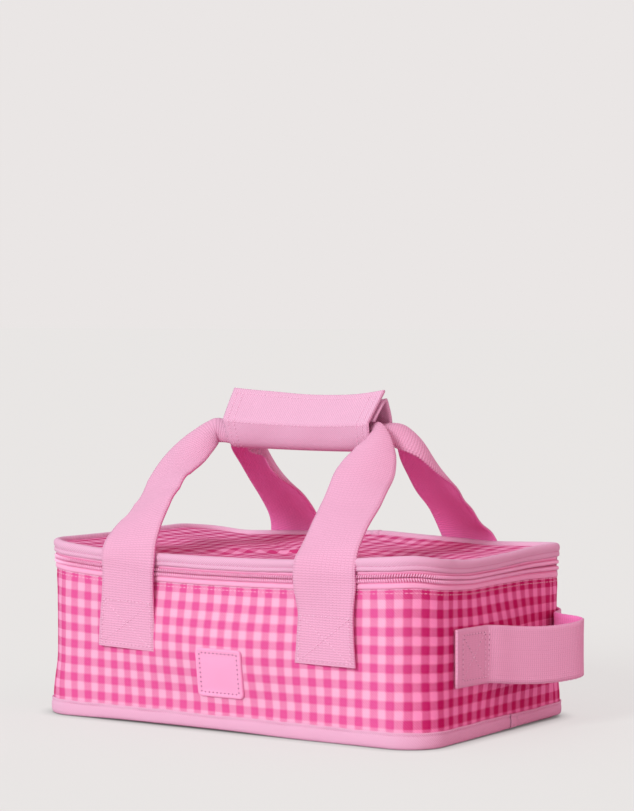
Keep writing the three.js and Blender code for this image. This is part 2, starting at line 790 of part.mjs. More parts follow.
function splinePoints(points, steps) {
  return new THREE.CatmullRomCurve3(points.map(([y, z]) => new THREE.Vector3(y, z, 0)), false, 'centripetal')
    .getPoints(steps)
    .map(({ x, y }) => new THREE.Vector2(x, y));
}

function makeGrip(backHandle, flap) {
  const sheetBottom = gripBottom + wrapThickness / 2;
  const flapStart = splinePoints([
    [flapHingeY - seamGap, sheetBottom],
    [-0.62 * gripFrontReach, sheetBottom + 0.15 * gripWaist],
    [-0.86 * gripFrontReach, sheetBottom + 0.5 * gripWaist],
    [flapWaist.x, flapWaist.y],
  ], 7);
  addPiece(flap, 'grip_flap', bentSheet([...flapStart, flapTop], wrapThickness, gripLength), plainPink);
  const hookStart = onFlap(flapSeam, hookOffset);
  const loopStart = onFlap(flapSeam, loopOffset);
  const tapeEnd = (start) => start.clone().addScaledVector(flapAlong, closureTapeWidth);
  const tapeLength = gripLength - 2 * closureMargin;
  addPiece(flap, 'flap_hook_tape', bentSheet([hookStart, tapeEnd(hookStart)], closureTape, tapeLength), zipPink);
  addPiece(backHandle, 'wrap_loop_tape', bentSheet([loopStart, tapeEnd(loopStart)], closureTape, tapeLength),
    zipPink);
  const tuckTop = onFlap(flapSeam + closureTapeWidth + foldGap, tuckOffset);
  const tuckEnd = onFlap(flapSeam - closureTape, tuckOffset);
  const backY = gripBackReach - wrapThickness / 2;
  const wrapLine = splinePoints([
    [flapHingeY + 2 * seamGap, sheetBottom],
    [0.35 * backY, sheetBottom + 0.04 * gripWaist],
    [0.83 * backY, sheetBottom + 0.3 * gripWaist],
    [backY, wristZ - 3],
    [0.88 * backY, wristZ + 6],
    [tuckTop.x + 4.6, tuckTop.y - 0.3],
    [tuckTop.x + 1.8, tuckTop.y + 1],
    [tuckTop.x - 0.6, tuckTop.y - 0.8],
  ], 15);
  addPiece(backHandle, 'grip_wrap', bentSheet([...wrapLine, tuckEnd], wrapThickness, gripLength), plainPink);
}

// End loop: sewn to the +X end, bowed out, and sewn on again round the back corner
function makeSideLoop(parent) {
  const z = loopBottom + loopWidth / 2;
  const offset = looseGap + webbingThickness / 2;
  const sewnPoint = (y) => onWall(rightSide, y, z, offset);
  const freeFront = loopSewnFront + loopSewnLength;
  const span = loopBackY - freeFront;
  const wallX = sewnPoint(freeFront).x;
  const bow = [[0.24, 0.12], [0.45, 0.36], [0.66, 0.7], [0.81, 0.93], [0.93, 1.01], [1, 0.86], [1.01, 0.55],
    [1, 0.28]];
  const rounded = [0.8, 0.6, 0.4].map((turn) => outlinePoint({ side: backSide, turn }, z, -offset));
  const control = [
    sewnPoint(loopSewnFront),
    sewnPoint(loopSewnFront + loopSewnLength / 2),
    sewnPoint(freeFront),
    ...bow.map(([along, out]) => new THREE.Vector3(wallX + out * loopReach, freeFront + along * span, z)),
    sewnPoint(loopBackY + 4),
    ...rounded,
  ];
  const centres = new THREE.CatmullRomCurve3(control, false, 'centripetal').getPoints(2 * loopSteps);
  centres.forEach((point) => point.setZ(z));
  const acrosses = centres.map(() => up);
  const even = (size) => centres.map(() => size);
  const loop = ribbon(centres, acrosses, even(loopWidth), even(webbingThickness));
  addPiece(parent, 'side_loop', loop, webbingPink);
}

function makeBag() {
  const bag = new THREE.Group();
  const body = new THREE.Group();
  const lid = new THREE.Group();
  const frontHandle = new THREE.Group();
  const backHandle = new THREE.Group();
  const flap = new THREE.Group();
  bag.add(body, lid, frontHandle, backHandle, flap);
  makeWalls(body);
  makeBase(body);
  makeZipTapes(body, lid);
  makeZipTeeth(body, lid);
  makeLid(lid);
  makeSlider(bag);
  makePatch(body);
  makeSewnEnds(body);
  makeSideLoop(body);
  addPiece(frontHandle, 'front_webbing', makeHandle(frontSide, -1, gatheredFrontY), webbingPink);
  addPiece(backHandle, 'back_webbing', makeHandle(backSide, 1, gatheredBackY), webbingPink);
  makeGrip(backHandle, flap);
  return bag;
}

export default makeBag();
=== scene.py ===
import math

import bpy
import numpy as np
from bpy.props import FloatProperty, FloatVectorProperty, IntProperty, PointerProperty
from bpy.types import Operator, Panel, PropertyGroup
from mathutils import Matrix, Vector


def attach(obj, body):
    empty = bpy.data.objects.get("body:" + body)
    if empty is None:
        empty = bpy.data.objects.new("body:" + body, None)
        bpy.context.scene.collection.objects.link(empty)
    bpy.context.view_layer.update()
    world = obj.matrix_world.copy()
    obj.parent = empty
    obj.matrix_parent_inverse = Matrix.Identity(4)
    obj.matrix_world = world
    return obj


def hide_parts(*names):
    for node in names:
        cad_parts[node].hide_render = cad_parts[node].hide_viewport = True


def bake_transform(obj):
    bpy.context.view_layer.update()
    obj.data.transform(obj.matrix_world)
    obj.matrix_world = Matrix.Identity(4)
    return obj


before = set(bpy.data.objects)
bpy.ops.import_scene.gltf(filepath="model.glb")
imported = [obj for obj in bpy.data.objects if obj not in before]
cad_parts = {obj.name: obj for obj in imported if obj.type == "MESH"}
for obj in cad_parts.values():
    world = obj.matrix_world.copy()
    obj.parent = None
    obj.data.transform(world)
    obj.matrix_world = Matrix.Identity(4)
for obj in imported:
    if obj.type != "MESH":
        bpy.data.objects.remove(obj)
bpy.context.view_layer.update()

bl_info = {
    "name": "Gingham Lunch Bag",
    "version": (1, 0, 0),
    "blender": (4, 5, 0),
    "location": "3D View > Sidebar > Lunch Bag",
    "description": "Makes a soft gingham lunch bag with a zipped lid and webbing handles",
    "category": "Object",
}

# Sizes in millimetres, the same as in the solid model.
MM = 0.001
BAG_LENGTH = 269.0
BAG_DEPTH = 172.0
WALL_TOP = 88.0
RIM_TOP = 104.2
BASE_CORNER = 22.0
WALL_CORNER = 27.0
CORNER_BLEND = 25.0
BINDING_TOP = 11.3
STRIP_TOP = 9.3
LONG_BULGE = 6.0
SHORT_BULGE = 5.0
ZIP_BACK_END = 68.0
WEBBING_WIDTH = 38.0
WEBBING_THICKNESS = 1.9
LOOP_WIDTH = 32.0
LOOP_HEIGHT = 47.5
GRIP_HALF = 52.0
GRIP_MIDDLE = 2.0

# Height of the lid's edge at points round the bag: x, y, z.
RIM_HEIGHTS = [
    (134.5, -88.7, 106.6), (134.5, -67.7, 104.0), (134.5, -35.0, 101.0), (134.5, -12.8, 101.5),
    (134.5, 10.0, 102.1), (134.5, 33.6, 103.3), (134.5, 61.0, 103.6), (134.5, 72.0, 103.0),
    (112.0, 86.0, 101.4), (78.9, 86.0, 100.4), (27.7, 86.0, 102.3), (1.3, 86.0, 103.6),
    (-60.0, 86.0, 100.6), (-108.6, 86.0, 98.9), (-128.0, 86.0, 101.6), (-134.5, 55.0, 104.0),
    (-134.5, 0.0, 103.2), (-134.5, -50.0, 103.6), (-130.0, -80.0, 104.2), (-117.0, -86.0, 103.4),
    (-88.0, -86.0, 100.6), (-44.0, -86.0, 99.8), (-15.0, -86.0, 99.5), (20.0, -86.0, 99.9),
    (47.0, -86.0, 100.7), (78.0, -86.0, 102.6), (107.0, -86.0, 105.1),
]


# Settings that a user would change

def colour(label, about, value):
    return FloatVectorProperty(
        name=label, description=about, default=value, size=3, min=0.0, max=1.0, subtype="COLOR"
    )


class LunchBagCloth(PropertyGroup):
    """Colours of the bag's cloths and trims."""

    gingham_light: colour("Gingham Light", "Undyed squares of the check", (0.86, 0.50, 0.68))
    gingham_dark: colour("Gingham Dark", "Fully dyed squares of the check", (0.75, 0.105, 0.33))
    trim: colour("Trim", "Twill of the bindings and the grip", (0.86, 0.50, 0.69))
    webbing: colour("Webbing", "Outer face of the handle webbing", (0.84, 0.44, 0.63))
    webbing_back: colour("Webbing Back", "Inner face of the handle webbing", (0.97, 0.27, 0.62))
    zip_tape: colour("Zip Tape", "Woven tape of the zip", (0.93, 0.45, 0.67))
    zip_coil: colour("Zip Coil", "Nylon coil of the zip", (0.96, 0.53, 0.75))
    lining: colour("Lining", "Wipe-clean lining", (0.86, 0.58, 0.68))
    patch: colour("Patch", "Moulded rubber patch", (0.90, 0.40, 0.64))
    thread: colour("Thread", "Sewing thread", (0.90, 0.58, 0.75))


class LunchBagMake(PropertyGroup):
    """Sizes of the sewing and of the weaves."""

    check: FloatProperty(
        name="Check", description="Width of one gingham stripe", default=5.0 * MM, unit="LENGTH"
    )
    stitch: FloatProperty(
        name="Stitch Pitch", description="Distance from stitch to stitch", default=2.75 * MM,
        unit="LENGTH"
    )
    thread: FloatProperty(
        name="Thread", description="Thickness of the sewing thread", default=0.45 * MM,
        unit="LENGTH"
    )
    coil: FloatProperty(
        name="Coil Pitch", description="Distance from loop to loop of the zip coil",
        default=1.5 * MM, unit="LENGTH"
    )
    seed: IntProperty(name="Seed", description="Seed of the cloth's unevenness", default=7, min=0)


# The bag's outline

SHORT_STATIONS = 44
LONG_STATIONS = 68
CORNER_STATIONS = 14

# Each side's outward direction, its run, its bulge and how many stations it has.
SIDES = (
    ((1.0, 0.0), (0.0, -1.0), SHORT_BULGE, SHORT_STATIONS),
    ((0.0, -1.0), (-1.0, 0.0), LONG_BULGE, LONG_STATIONS),
    ((-1.0, 0.0), (0.0, 1.0), SHORT_BULGE, SHORT_STATIONS),
    ((0.0, 1.0), (1.0, 0.0), LONG_BULGE, LONG_STATIONS),
)


def smooth(t):
    t = np.clip(t, 0.0, 1.0)
    return t * t * (3.0 - 2.0 * t)


def half_reach(direction):
    return BAG_LENGTH / 2 if abs(direction[0]) > 0.5 else BAG_DEPTH / 2


def corner_radius(z):
    return BASE_CORNER + (WALL_CORNER - BASE_CORNER) * smooth((z - BINDING_TOP) / CORNER_BLEND)


def plain_outline(z, offset=0.0):
    """The bag's outline at height z, moved outwards by offset: one point for each station."""
    radius = corner_radius(z)
    share = min(max((z - BINDING_TOP) / (WALL_TOP - BINDING_TOP), 0.0), 1.0)
    fullness = math.sin(math.pi * share) ** 2
    arm = max(radius + offset, 0.3)
    points = []
    for normal, along, bulge, count in SIDES:
        out = half_reach(normal) + offset - arm
        run = half_reach(along) + offset - arm
        normal = np.array(normal)
        along = np.array(along)
        u = np.arange(count) / count
        wave = np.sin(np.pi * u) ** 2
        reach = out + arm + bulge * fullness * wave
        points.append(np.outer(reach, normal) + np.outer(run * (2 * u - 1), along))
        turn = np.arange(CORNER_STATIONS) / CORNER_STATIONS * math.pi / 2
        points.append(
            np.outer(out + arm * np.cos(turn), normal) + np.outer(run + arm * np.sin(turn), along)
        )
    return np.vstack(points)


MIDDLE_OUTLINE = plain_outline(WALL_TOP)
STATIONS = len(MIDDLE_OUTLINE)
STATION_STEPS = np.linalg.norm(np.roll(MIDDLE_OUTLINE, -1, axis=0) - MIDDLE_OUTLINE, axis=1)

# Distance round the bag to each station, and all the way round.
ROUND = np.concatenate(([0.0], np.cumsum(STATION_STEPS)))
GIRTH = ROUND[-1]


def side_share():
    """For each station -1 to 1 along its straight side, running back to -1 round the corner."""
    parts = []
    for _, _, _, count in SIDES:
        parts.append(2 * np.arange(count) / count - 1)
        parts.append(1 - 2 * np.arange(CORNER_STATIONS) / CORNER_STATIONS)
    return np.append(np.concatenate(parts), -1.0)


SIDE_SHARE = side_share()


def cloth_round(z):
    """Distance round the bag for each station at height z, with upright threads on the sides."""
    return ROUND + (WALL_CORNER - corner_radius(z)) * SIDE_SHARE


def rim_lift():
    """How far the lid's edge stands above or below its plain height, for each station."""
    known = []
    for x, y, z in RIM_HEIGHTS:
        nearest = np.argmin(np.hypot(MIDDLE_OUTLINE[:, 0] - x, MIDDLE_OUTLINE[:, 1] - y))
        known.append((ROUND[nearest], z - RIM_TOP))
    known.sort()
    at = np.array([k[0] for k in known])
    lift = np.array([k[1] for k in known])
    at = np.concatenate((at - GIRTH, at, at + GIRTH))
    lift = np.tile(lift, 3)
    raw = np.interp(ROUND[:-1], at, lift)
    for _ in range(6):
        raw = (np.roll(raw, 1) + 2 * raw + np.roll(raw, -1)) / 4
    return raw


def hump(x, y, height, reach, power=2):
    """A rounded hump round the place x, y on the outline, for each station."""
    away = np.hypot(MIDDLE_OUTLINE[:, 0] - x, MIDDLE_OUTLINE[:, 1] - y)
    return height * np.exp(-(away / reach) ** power)


RIM_LIFT = rim_lift()

# The wall's top edge sags at the far right corner.
END_SAG = hump(BAG_LENGTH / 2, 66.0, 2.8, 42.0)


def lift_share(z):
    return np.clip((z - BINDING_TOP) / (RIM_TOP - BINDING_TOP), 0.0, 1.2) ** 1.2


def outline(z, offset=0.0):
    """Points of the sagging bag at a nominal height z: stations by x, y, z."""
    flat = plain_outline(z, offset)
    near_top = np.exp(-((z - 88.0) / (6.0 if z > 88.0 else 26.0)) ** 2)
    return np.column_stack((flat, z + RIM_LIFT * lift_share(z) - END_SAG * near_top))


def outward():
    """The outward direction at each station, level."""
    along = np.roll(MIDDLE_OUTLINE, -1, axis=0) - np.roll(MIDDLE_OUTLINE, 1, axis=0)
    normal = np.column_stack((-along[:, 1], along[:, 0], np.zeros(len(along))))
    normal /= np.linalg.norm(normal, axis=1)[:, None]
    sign = np.sign(np.sum(normal[:, :2] * MIDDLE_OUTLINE))
    return normal * sign


OUTWARD = outward()


def unevenness(seed, along, up, size, finest, coarsest, count=10):
    """A smooth, repeatable unevenness on the wall, the same where the outline closes."""
    draw = np.random.default_rng(seed)
    total = np.zeros(np.broadcast(along, up).shape)
    for _ in range(count):
        turns = int(round(GIRTH / draw.uniform(finest, coarsest)))
        lean = draw.uniform(-1.0, 1.0) * 2 * math.pi / coarsest
        total = total + np.sin(
            2 * math.pi * turns * along / GIRTH + lean * up + draw.uniform(0, 2 * math.pi)
        )
    return size * total / math.sqrt(count)


def wall_fold(seed, along, z):
    """How far the gingham wall stands out of its plain shape."""
    share = np.clip((z - BINDING_TOP) / (WALL_TOP - BINDING_TOP), 0.0, 1.0)
    middle = np.sin(np.pi * share) ** 0.7
    top = np.exp(-((z - 82.0) / 5.0) ** 2)
    foot = np.exp(-((z - 15.0) / 7.0) ** 2)
    soft = unevenness(seed, along, z, 0.55, 60.0, 170.0, 8) * middle
    gathers = unevenness(seed + 1, along, z * 0.2, 0.24, 9.0, 20.0, 8)
    return soft + gathers * (top + 0.8 * foot)


def wall_point(seed, along, z, offset=0.0):
    """A point on the gingham wall: along is the distance round the bag, z the nominal height."""
    ring = outline(z, offset)
    along = along - (WALL_CORNER - corner_radius(z)) * np.interp(along % GIRTH, ROUND, SIDE_SHARE)
    station = np.interp(along % GIRTH, ROUND, np.arange(STATIONS + 1))
    low = int(station) % STATIONS
    part = station - int(station)
    high = (low + 1) % STATIONS
    point = ring[low] * (1 - part) + ring[high] * part
    normal = OUTWARD[low] * (1 - part) + OUTWARD[high] * part
    return point + normal * wall_fold(seed, along % GIRTH, z), normal


def along_at(x, y):
    """Distance round the bag of the station nearest to x, y, found between stations."""
    a = MIDDLE_OUTLINE
    b = np.roll(a, -1, axis=0)
    step = b - a
    reach = (x - a[:, 0]) * step[:, 0] + (y - a[:, 1]) * step[:, 1]
    t = np.clip(reach / (step ** 2).sum(1), 0, 1)
    gap = np.hypot(a[:, 0] + t * step[:, 0] - x, a[:, 1] + t * step[:, 1] - y)
    best = int(np.argmin(gap))
    return ROUND[best] + t[best] * (ROUND[best + 1] - ROUND[best])


# Meshes

def make_mesh(name, points, faces, uv, materials, face_material=None):
    """A smooth-shaded object from points in millimetres; uv has one row for each face corner."""
    mesh = bpy.data.meshes.new(name)
    mesh.from_pydata((np.asarray(points) * MM).tolist(), [], faces)
    layer = mesh.uv_layers.new(name="UVMap")
    layer.data.foreach_set("uv", np.asarray(uv, dtype=np.float32).ravel())
    for material in materials:
        mesh.materials.append(material)
    if face_material is not None:
        mesh.polygons.foreach_set("material_index", np.asarray(face_material, dtype=np.int32))
    mesh.polygons.foreach_set("use_smooth", np.ones(len(mesh.polygons), dtype=bool))
    mesh.update()
    mesh.validate()
    obj = bpy.data.objects.new(name, mesh)
    bpy.context.collection.objects.link(obj)
    return obj


def volume(points, faces):
    p = np.asarray(points)
    total = 0.0
    quads = np.array([f for f in faces if len(f) == 4])
    others = [f for f in faces if len(f) != 4]
    if len(quads):
        a, b, c, d = (p[quads[:, k]] for k in range(4))
        total += np.einsum("ij,ij->i", a, np.cross(b, c)).sum()
        total += np.einsum("ij,ij->i", a, np.cross(c, d)).sum()
    for face in others:
        for k in range(1, len(face) - 1):
            total += np.dot(p[face[0]], np.cross(p[face[k]], p[face[k + 1]]))
    return total


def grid_faces(rows, columns, close_rows, close_columns):
    """Quads of a grid, and the grid place of each corner with wrapped places counted on."""
    r = np.arange(rows if close_rows else rows - 1)
    c = np.arange(columns if close_columns else columns - 1)
    rr, cc = np.meshgrid(r, c, indexing="ij")
    rr, cc = rr.ravel(), cc.ravel()
    corner_r = np.stack((rr, rr, rr + 1, rr + 1), axis=1)
    corner_c = np.stack((cc, cc + 1, cc + 1, cc), axis=1)
    index = (corner_r % rows) * columns + corner_c % columns
    return index, corner_r, corner_c


def sweep(name, rings, u, v, materials, closed, ring_material=None):
    """A closed body: rings[k] is a line of points along it, and the lines close on themselves.

    u and v have one more place than the lines and the points where these close."""
    rings = np.asarray(rings)
    rows, columns = rings.shape[:2]
    index, corner_r, corner_c = grid_faces(rows, columns, True, closed)
    u = np.broadcast_to(np.asarray(u), (rows + 1, columns + 1))
    v = np.asarray(v)
    v = v[:, None] if v.ndim == 1 else v
    v = np.broadcast_to(v, (rows + 1, columns + 1))
    uv = np.stack((u[corner_r, corner_c], v[corner_r, corner_c]), axis=-1).reshape(-1, 2)
    faces = index.tolist()
    points = rings.reshape(-1, 3)
    painted = None
    if ring_material is not None:
        painted = [ring_material[k] for k in corner_r[:, 0]]
    if not closed:
        first = [k * columns for k in range(rows)]
        last = [k * columns + columns - 1 for k in range(rows)]
        faces.append(first)
        faces.append(last[::-1])
        uv = np.vstack((uv, [(u[k, 0], v[k, 0]) for k in range(rows)]))
        uv = np.vstack((uv, [(u[k, -2], v[k, -2]) for k in range(rows)][::-1]))
        if painted is not None:
            painted += [0, 0]
    if volume(points, faces) < 0:
        uv_parts = []
        at = 0
        for face in faces:
            uv_parts.append(uv[at:at + len(face)][::-1])
            at += len(face)
        faces = [face[::-1] for face in faces]
        uv = np.vstack(uv_parts)
    return make_mesh(name, points, faces, uv, materials, painted)


def disc(name, rings, top, bottom, materials, ring_material=None):
    """A closed pad: rings run from near its upper middle, over the edge, to its lower middle.

    Its flat pattern is its own x and y in millimetres."""
    rings = np.asarray(rings)
    rows, columns = rings.shape[:2]
    index, corner_r, corner_c = grid_faces(rows, columns, False, True)
    points = np.vstack((rings.reshape(-1, 3), [top, bottom]))
    faces = index.tolist()
    painted = [0 if ring_material is None else ring_material[k] for k in corner_r[:, 0]]
    upper, lower = rows * columns, rows * columns + 1
    for k in range(columns):
        after = (k + 1) % columns
        faces.append([upper, after, k])
        painted.append(painted[0])
        faces.append([lower, (rows - 1) * columns + k, (rows - 1) * columns + after])
        painted.append(painted[columns * (rows - 2)])
    if volume(points, faces) < 0:
        faces = [face[::-1] for face in faces]
    flat = points[:, :2]
    uv = flat[np.concatenate([np.asarray(face) for face in faces])]
    return make_mesh(name, points, faces, uv, materials, painted)


def band(name, profile, materials, span=None, shape=None, ring_material=None, upright=False):
    """A closed strip round the bag. profile is a loop of (offset, nominal height) pairs.

    span picks stations, first and count; shape(points, k) may move the k-th line of points;
    upright keeps the threads of the cloth upright where the corners change with height."""
    profile = np.asarray(profile, dtype=float)
    stations = np.arange(STATIONS)
    closed = span is None
    if span is not None:
        stations = (span[0] + np.arange(span[1])) % STATIONS
    rings = []
    for k, (offset, z) in enumerate(profile):
        line = outline(z, offset)
        if shape is not None:
            line = shape(line, k)
        rings.append(line[stations])
    if upright:
        u = np.array([cloth_round(z) for _, z in profile] + [cloth_round(profile[0, 1])])
    elif closed:
        u = ROUND
    else:
        start = ROUND[span[0]]
        u = start + np.concatenate(([0.0], np.cumsum(STATION_STEPS[stations])))
    steps = np.linalg.norm(np.roll(profile, -1, axis=0) - profile, axis=1)
    v = np.concatenate(([0.0], np.cumsum(steps)))
    return sweep(name, rings, u, v, materials, closed, ring_material)


def stations_before(limit):
    """Stations of the zip: from the right side's back end round the front to the left side's."""
    kept = MIDDLE_OUTLINE[:, 1] <= limit
    first = int(np.flatnonzero(kept & ~np.roll(kept, 1))[0])
    return first, int(kept.sum())


def path_length(rows):
    """Length of the line through the rows, by their x, y and z."""
    points = np.asarray(rows, dtype=float)[:, :3]
    return float(np.linalg.norm(np.diff(points, axis=0), axis=1).sum())


def spline(rows, count):
    """Points on a smooth curve through the rows; every column is carried along."""
    p = np.asarray(rows, dtype=float)
    d = np.concatenate(([0.0], np.cumsum(np.linalg.norm(np.diff(p[:, :3], axis=0), axis=1))))
    t = np.linspace(0.0, d[-1], count)
    slope = np.empty_like(p)
    slope[1:-1] = (p[2:] - p[:-2]) / (d[2:] - d[:-2])[:, None]
    slope[0] = (p[1] - p[0]) / (d[1] - d[0])
    slope[-1] = (p[-1] - p[-2]) / (d[-1] - d[-2])
    k = np.clip(np.searchsorted(d, t, side="right") - 1, 0, len(d) - 2)
    h = (d[k + 1] - d[k])[:, None]
    s = (t[:, None] - d[k][:, None]) / h
    return (
        (2 * s**3 - 3 * s**2 + 1) * p[k] + (s**3 - 2 * s**2 + s) * h * slope[k]
        + (3 * s**2 - 2 * s**3) * p[k + 1] + (s**3 - s**2) * h * slope[k + 1]
    ), t


# Webbing

# The legs of the handles, from a sewn end up into the grip, each as if it were the right front
# one. Each row is x, y, z of the middle of the outer face, its turn and its curl in degrees, and
# how far its width is squeezed.
FRONT_RIGHT_LEG = [
    (72.9, -89.9, 43.5, 0, 0, 1.04), (73, -90, 58, 0, 0, 0.98), (73.2, -90, 72.5, 0, 0, 0.95),
    (73, -90.8, 88, 4, 0, 1.03), (73, -91, 97, 4, 2, 1.02), (73, -88.4, 105, 5, 4, 1),
    (72, -81, 113, 7, 8, 1), (70.2, -70.5, 122, 12, 14, 1), (68, -57, 132, 20, 22, 1),
    (65.2, -43, 143, 28, 34, 0.96), (63.6, -32, 152, 32, 46, 0.92), (61.8, -21, 161, 36, 64, 0.72),
    (59.4, -13.5, 168.2, 38, 84, 0.44), (55.6, -9.6, 172.6, 38, 90, 0.26),
    (50, -7.6, 172.4, 36, 100, 0.26), (43, -5.8, 168.5, 30, 140, 0.42),
]
FRONT_LEFT_LEG = [
    (65.8, -89.9, 43.5, 0, 0, 1.06), (65.4, -90, 58, 0, 0, 1.03), (65.2, -90, 72.5, 2, 0, 1),
    (64.8, -90.4, 88, 3, 0, 0.99), (64.5, -90.8, 96, 2, 2, 1.02), (64.8, -89, 104, 3, 4, 1.03),
    (65.6, -82.6, 113, 6, 8, 1.02), (67.2, -71.5, 122.5, 10, 14, 1),
    (69.6, -57, 132, 15, 20, 0.99), (71.4, -43, 143, 20, 28, 0.96),
    (70.2, -29, 154, 20, 46, 0.87), (66, -17.5, 163.6, 20, 78, 0.68),
    (60.5, -9.8, 169, 24, 112, 0.54), (54, -6.4, 169, 30, 140, 0.5),
    (44, -5.4, 167.5, 30, 150, 0.52),
]
BACK_RIGHT_LEG = [
    (69, -89.9, 43.5, 0, 0, 1), (69, -90, 58, 0, 0, 1), (68.8, -90, 72.5, 0, 0, 1),
    (66.4, -90.2, 88, 4, 0, 1), (63, -90.4, 97, 9, 2, 1), (60.2, -88, 105, 14, 4, 1),
    (59.2, -81, 113, 17, 7, 1), (59.6, -70.5, 122, 17, 10, 1.05), (60.4, -57, 132, 14, 14, 1.12),
    (62.6, -46, 141, 10, 20, 1.18), (65, -37, 149, 10, 32, 1.18), (67.6, -28.5, 157, 21, 66, 1.1),
    (69, -20.4, 164.8, 48, 114, 1.02), (65.4, -13.2, 171.6, 82, 152, 1),
    (57, -8.8, 175.6, 96, 174, 1), (46, -6, 172.6, 76, 168, 0.72),
]
BACK_LEFT_LEG = [
    (68, -89.9, 43.5, 0, 0, 1), (68, -90, 58, 0, 0, 1), (68, -90, 72.5, 0, 0, 1),
    (68, -90.2, 88, 0, 0, 1), (66.6, -90.4, 97, 0, 2, 1), (65, -88, 105, 4, 4, 1),
    (63.2, -81, 113, 8, 8, 1), (61, -70.5, 122, 12, 14, 1), (58, -57, 132, 14, 28, 1),
    (54.2, -43, 143, 7, 66, 1.03), (50, -29, 154, -3, 116, 1.08), (47.2, -17.5, 163, -6, 142, 1),
    (46.2, -9.8, 168, 8, 146, 0.76), (45.2, -6.4, 168.4, 24, 148, 0.62),
    (43, -5.4, 167.5, 30, 150, 0.55),
]
GRIP_RUN = (0, -5.4, 167.5, 30, 150, 0.58)
RIB_PITCH = 1.42
RIB_HEIGHT = 0.05

# Distance between the points of a seam, and how far its thread stands off the webbing.
SEAM_STEP = 0.8
SEAM_LIFT = 0.14


def mirror_leg(rows):
    return [(-row[0],) + tuple(row[1:]) for row in rows]


def handle_rows(left, right):
    """One handle's webbing, from its left sewn end through the grip to its right one."""
    return mirror_leg(left) + [GRIP_RUN] + right[::-1]


def softened(rows, reach=3, step=2.0):
    """The rows at even steps, each averaged with those within reach; both ends stay."""
    path, _ = spline(rows, int(path_length(rows) / step) + 2)
    for _ in range(2):
        before = 2 * path[0] - path[reach:0:-1]
        after = 2 * path[-1] - path[-2:-reach - 2:-1]
        whole = np.vstack((before, path, after))
        path = sum(whole[k:k + len(path)] for k in range(2 * reach + 1)) / (2 * reach + 1)
    return [tuple(row) for row in path]


HANDLES = {
    "front_handle_webbing": handle_rows(FRONT_LEFT_LEG, FRONT_RIGHT_LEG),
    "back_handle_webbing": softened(handle_rows(BACK_LEFT_LEG, BACK_RIGHT_LEG)),
}


HANDLE_BACK = (0.0, 1.0, 0.0)


def handle_guide(tangent):
    """Where the inner edge of a handle's webbing lies, seen along its run."""
    guide = np.column_stack((tangent[:, 2], np.zeros(len(tangent)), -tangent[:, 0]))
    return guide / np.linalg.norm(guide, axis=1)[:, None]


def upright_guide(tangent):
    return np.tile((0.0, 0.0, -1.0), (len(tangent), 1))


def eased(points, tangent, least, rounds=160):
    """Draws out the edge of a strip where a bend is so tight that it would run backwards."""
    for _ in range(rounds):
        ahead, behind = np.roll(points, -1, axis=0), np.roll(points, 1, axis=0)
        tight = np.sum((ahead - behind) * tangent[:, None, :], axis=2) < least
        tight[0] = tight[-1] = False
        points = np.where(tight[..., None], (ahead + behind) / 2, points)
    return points


def webbing_face(rows, width, guide, back, step, across):
    """The outer face of a strip of webbing: points, outward directions and distance along it."""
    path, along = spline(rows, int(path_length(rows) / step) + 2)
    middle = path[:, :3]
    tangent = np.gradient(middle, axis=0)
    tangent /= np.linalg.norm(tangent, axis=1)[:, None]
    turn = np.radians(path[:, 3])[:, None]
    side = guide(tangent) * np.cos(turn) - np.asarray(back) * np.sin(turn)
    side -= tangent * np.sum(side * tangent, axis=1)[:, None]
    side /= np.linalg.norm(side, axis=1)[:, None]
    face = np.cross(side, tangent)
    curl = np.radians(np.maximum(path[:, 4], 0.5))[:, None]
    squeeze = path[:, 5][:, None]
    place = np.asarray(across)[None, :]
    radius = width / curl
    lateral = radius * np.sin(curl * place) * squeeze
    sunk = radius * (1 - np.cos(curl * place)) * squeeze ** 1.2
    points = (
        middle[:, None, :] + side[:, None, :] * lateral[..., None]
        - face[:, None, :] * sunk[..., None]
    )
    points = eased(points, tangent, 0.3 * step)
    steps_along = np.gradient(points, axis=0)
    steps_across = np.gradient(points, axis=1)
    normal = np.cross(steps_across, steps_along)
    normal /= np.linalg.norm(normal, axis=2)[..., None] + 1e-9
    return points, normal, along


def webbing_strip(name, rows, width, guide, back, materials, mirror=1.0, step=RIB_PITCH / 4):
    """A closed, ribbed strip of webbing with rounded, scalloped edges."""
    across = np.linspace(-0.5, 0.5, 15)
    points, normal, along = webbing_face(rows, width, guide, back, step, across)
    rib = np.cos(2 * math.pi * along / RIB_PITCH)[:, None, None]
    outer = points + normal * RIB_HEIGHT * rib
    inner = points - normal * (WEBBING_THICKNESS + RIB_HEIGHT * rib)

    def edge_line(edge, beside):
        """The rounded edge, scalloped by the ribs."""
        away = points[:, edge] - points[:, beside]
        away /= np.linalg.norm(away, axis=1)[:, None]
        return (outer[:, edge] + inner[:, edge]) / 2 + away * (0.35 + 0.26 * rib[:, 0])

    lines = [outer[:, k] for k in range(len(across))] + [edge_line(-1, -2)]
    lines += [inner[:, k] for k in reversed(range(len(across)))] + [edge_line(0, 1)]
    rings = np.array(lines)
    rings[..., 1] *= mirror
    half = list((across + 0.5) * width)
    u = half + [width] + half[::-1] + [0.0, 0.0]
    count = len(across)
    painted = [0] * (count - 1) + [1] * (count + 3)
    painted[count - 1] = 0
    painted[-1] = 0
    return sweep(name, rings, np.append(along, along[-1]), u, materials, False, painted)


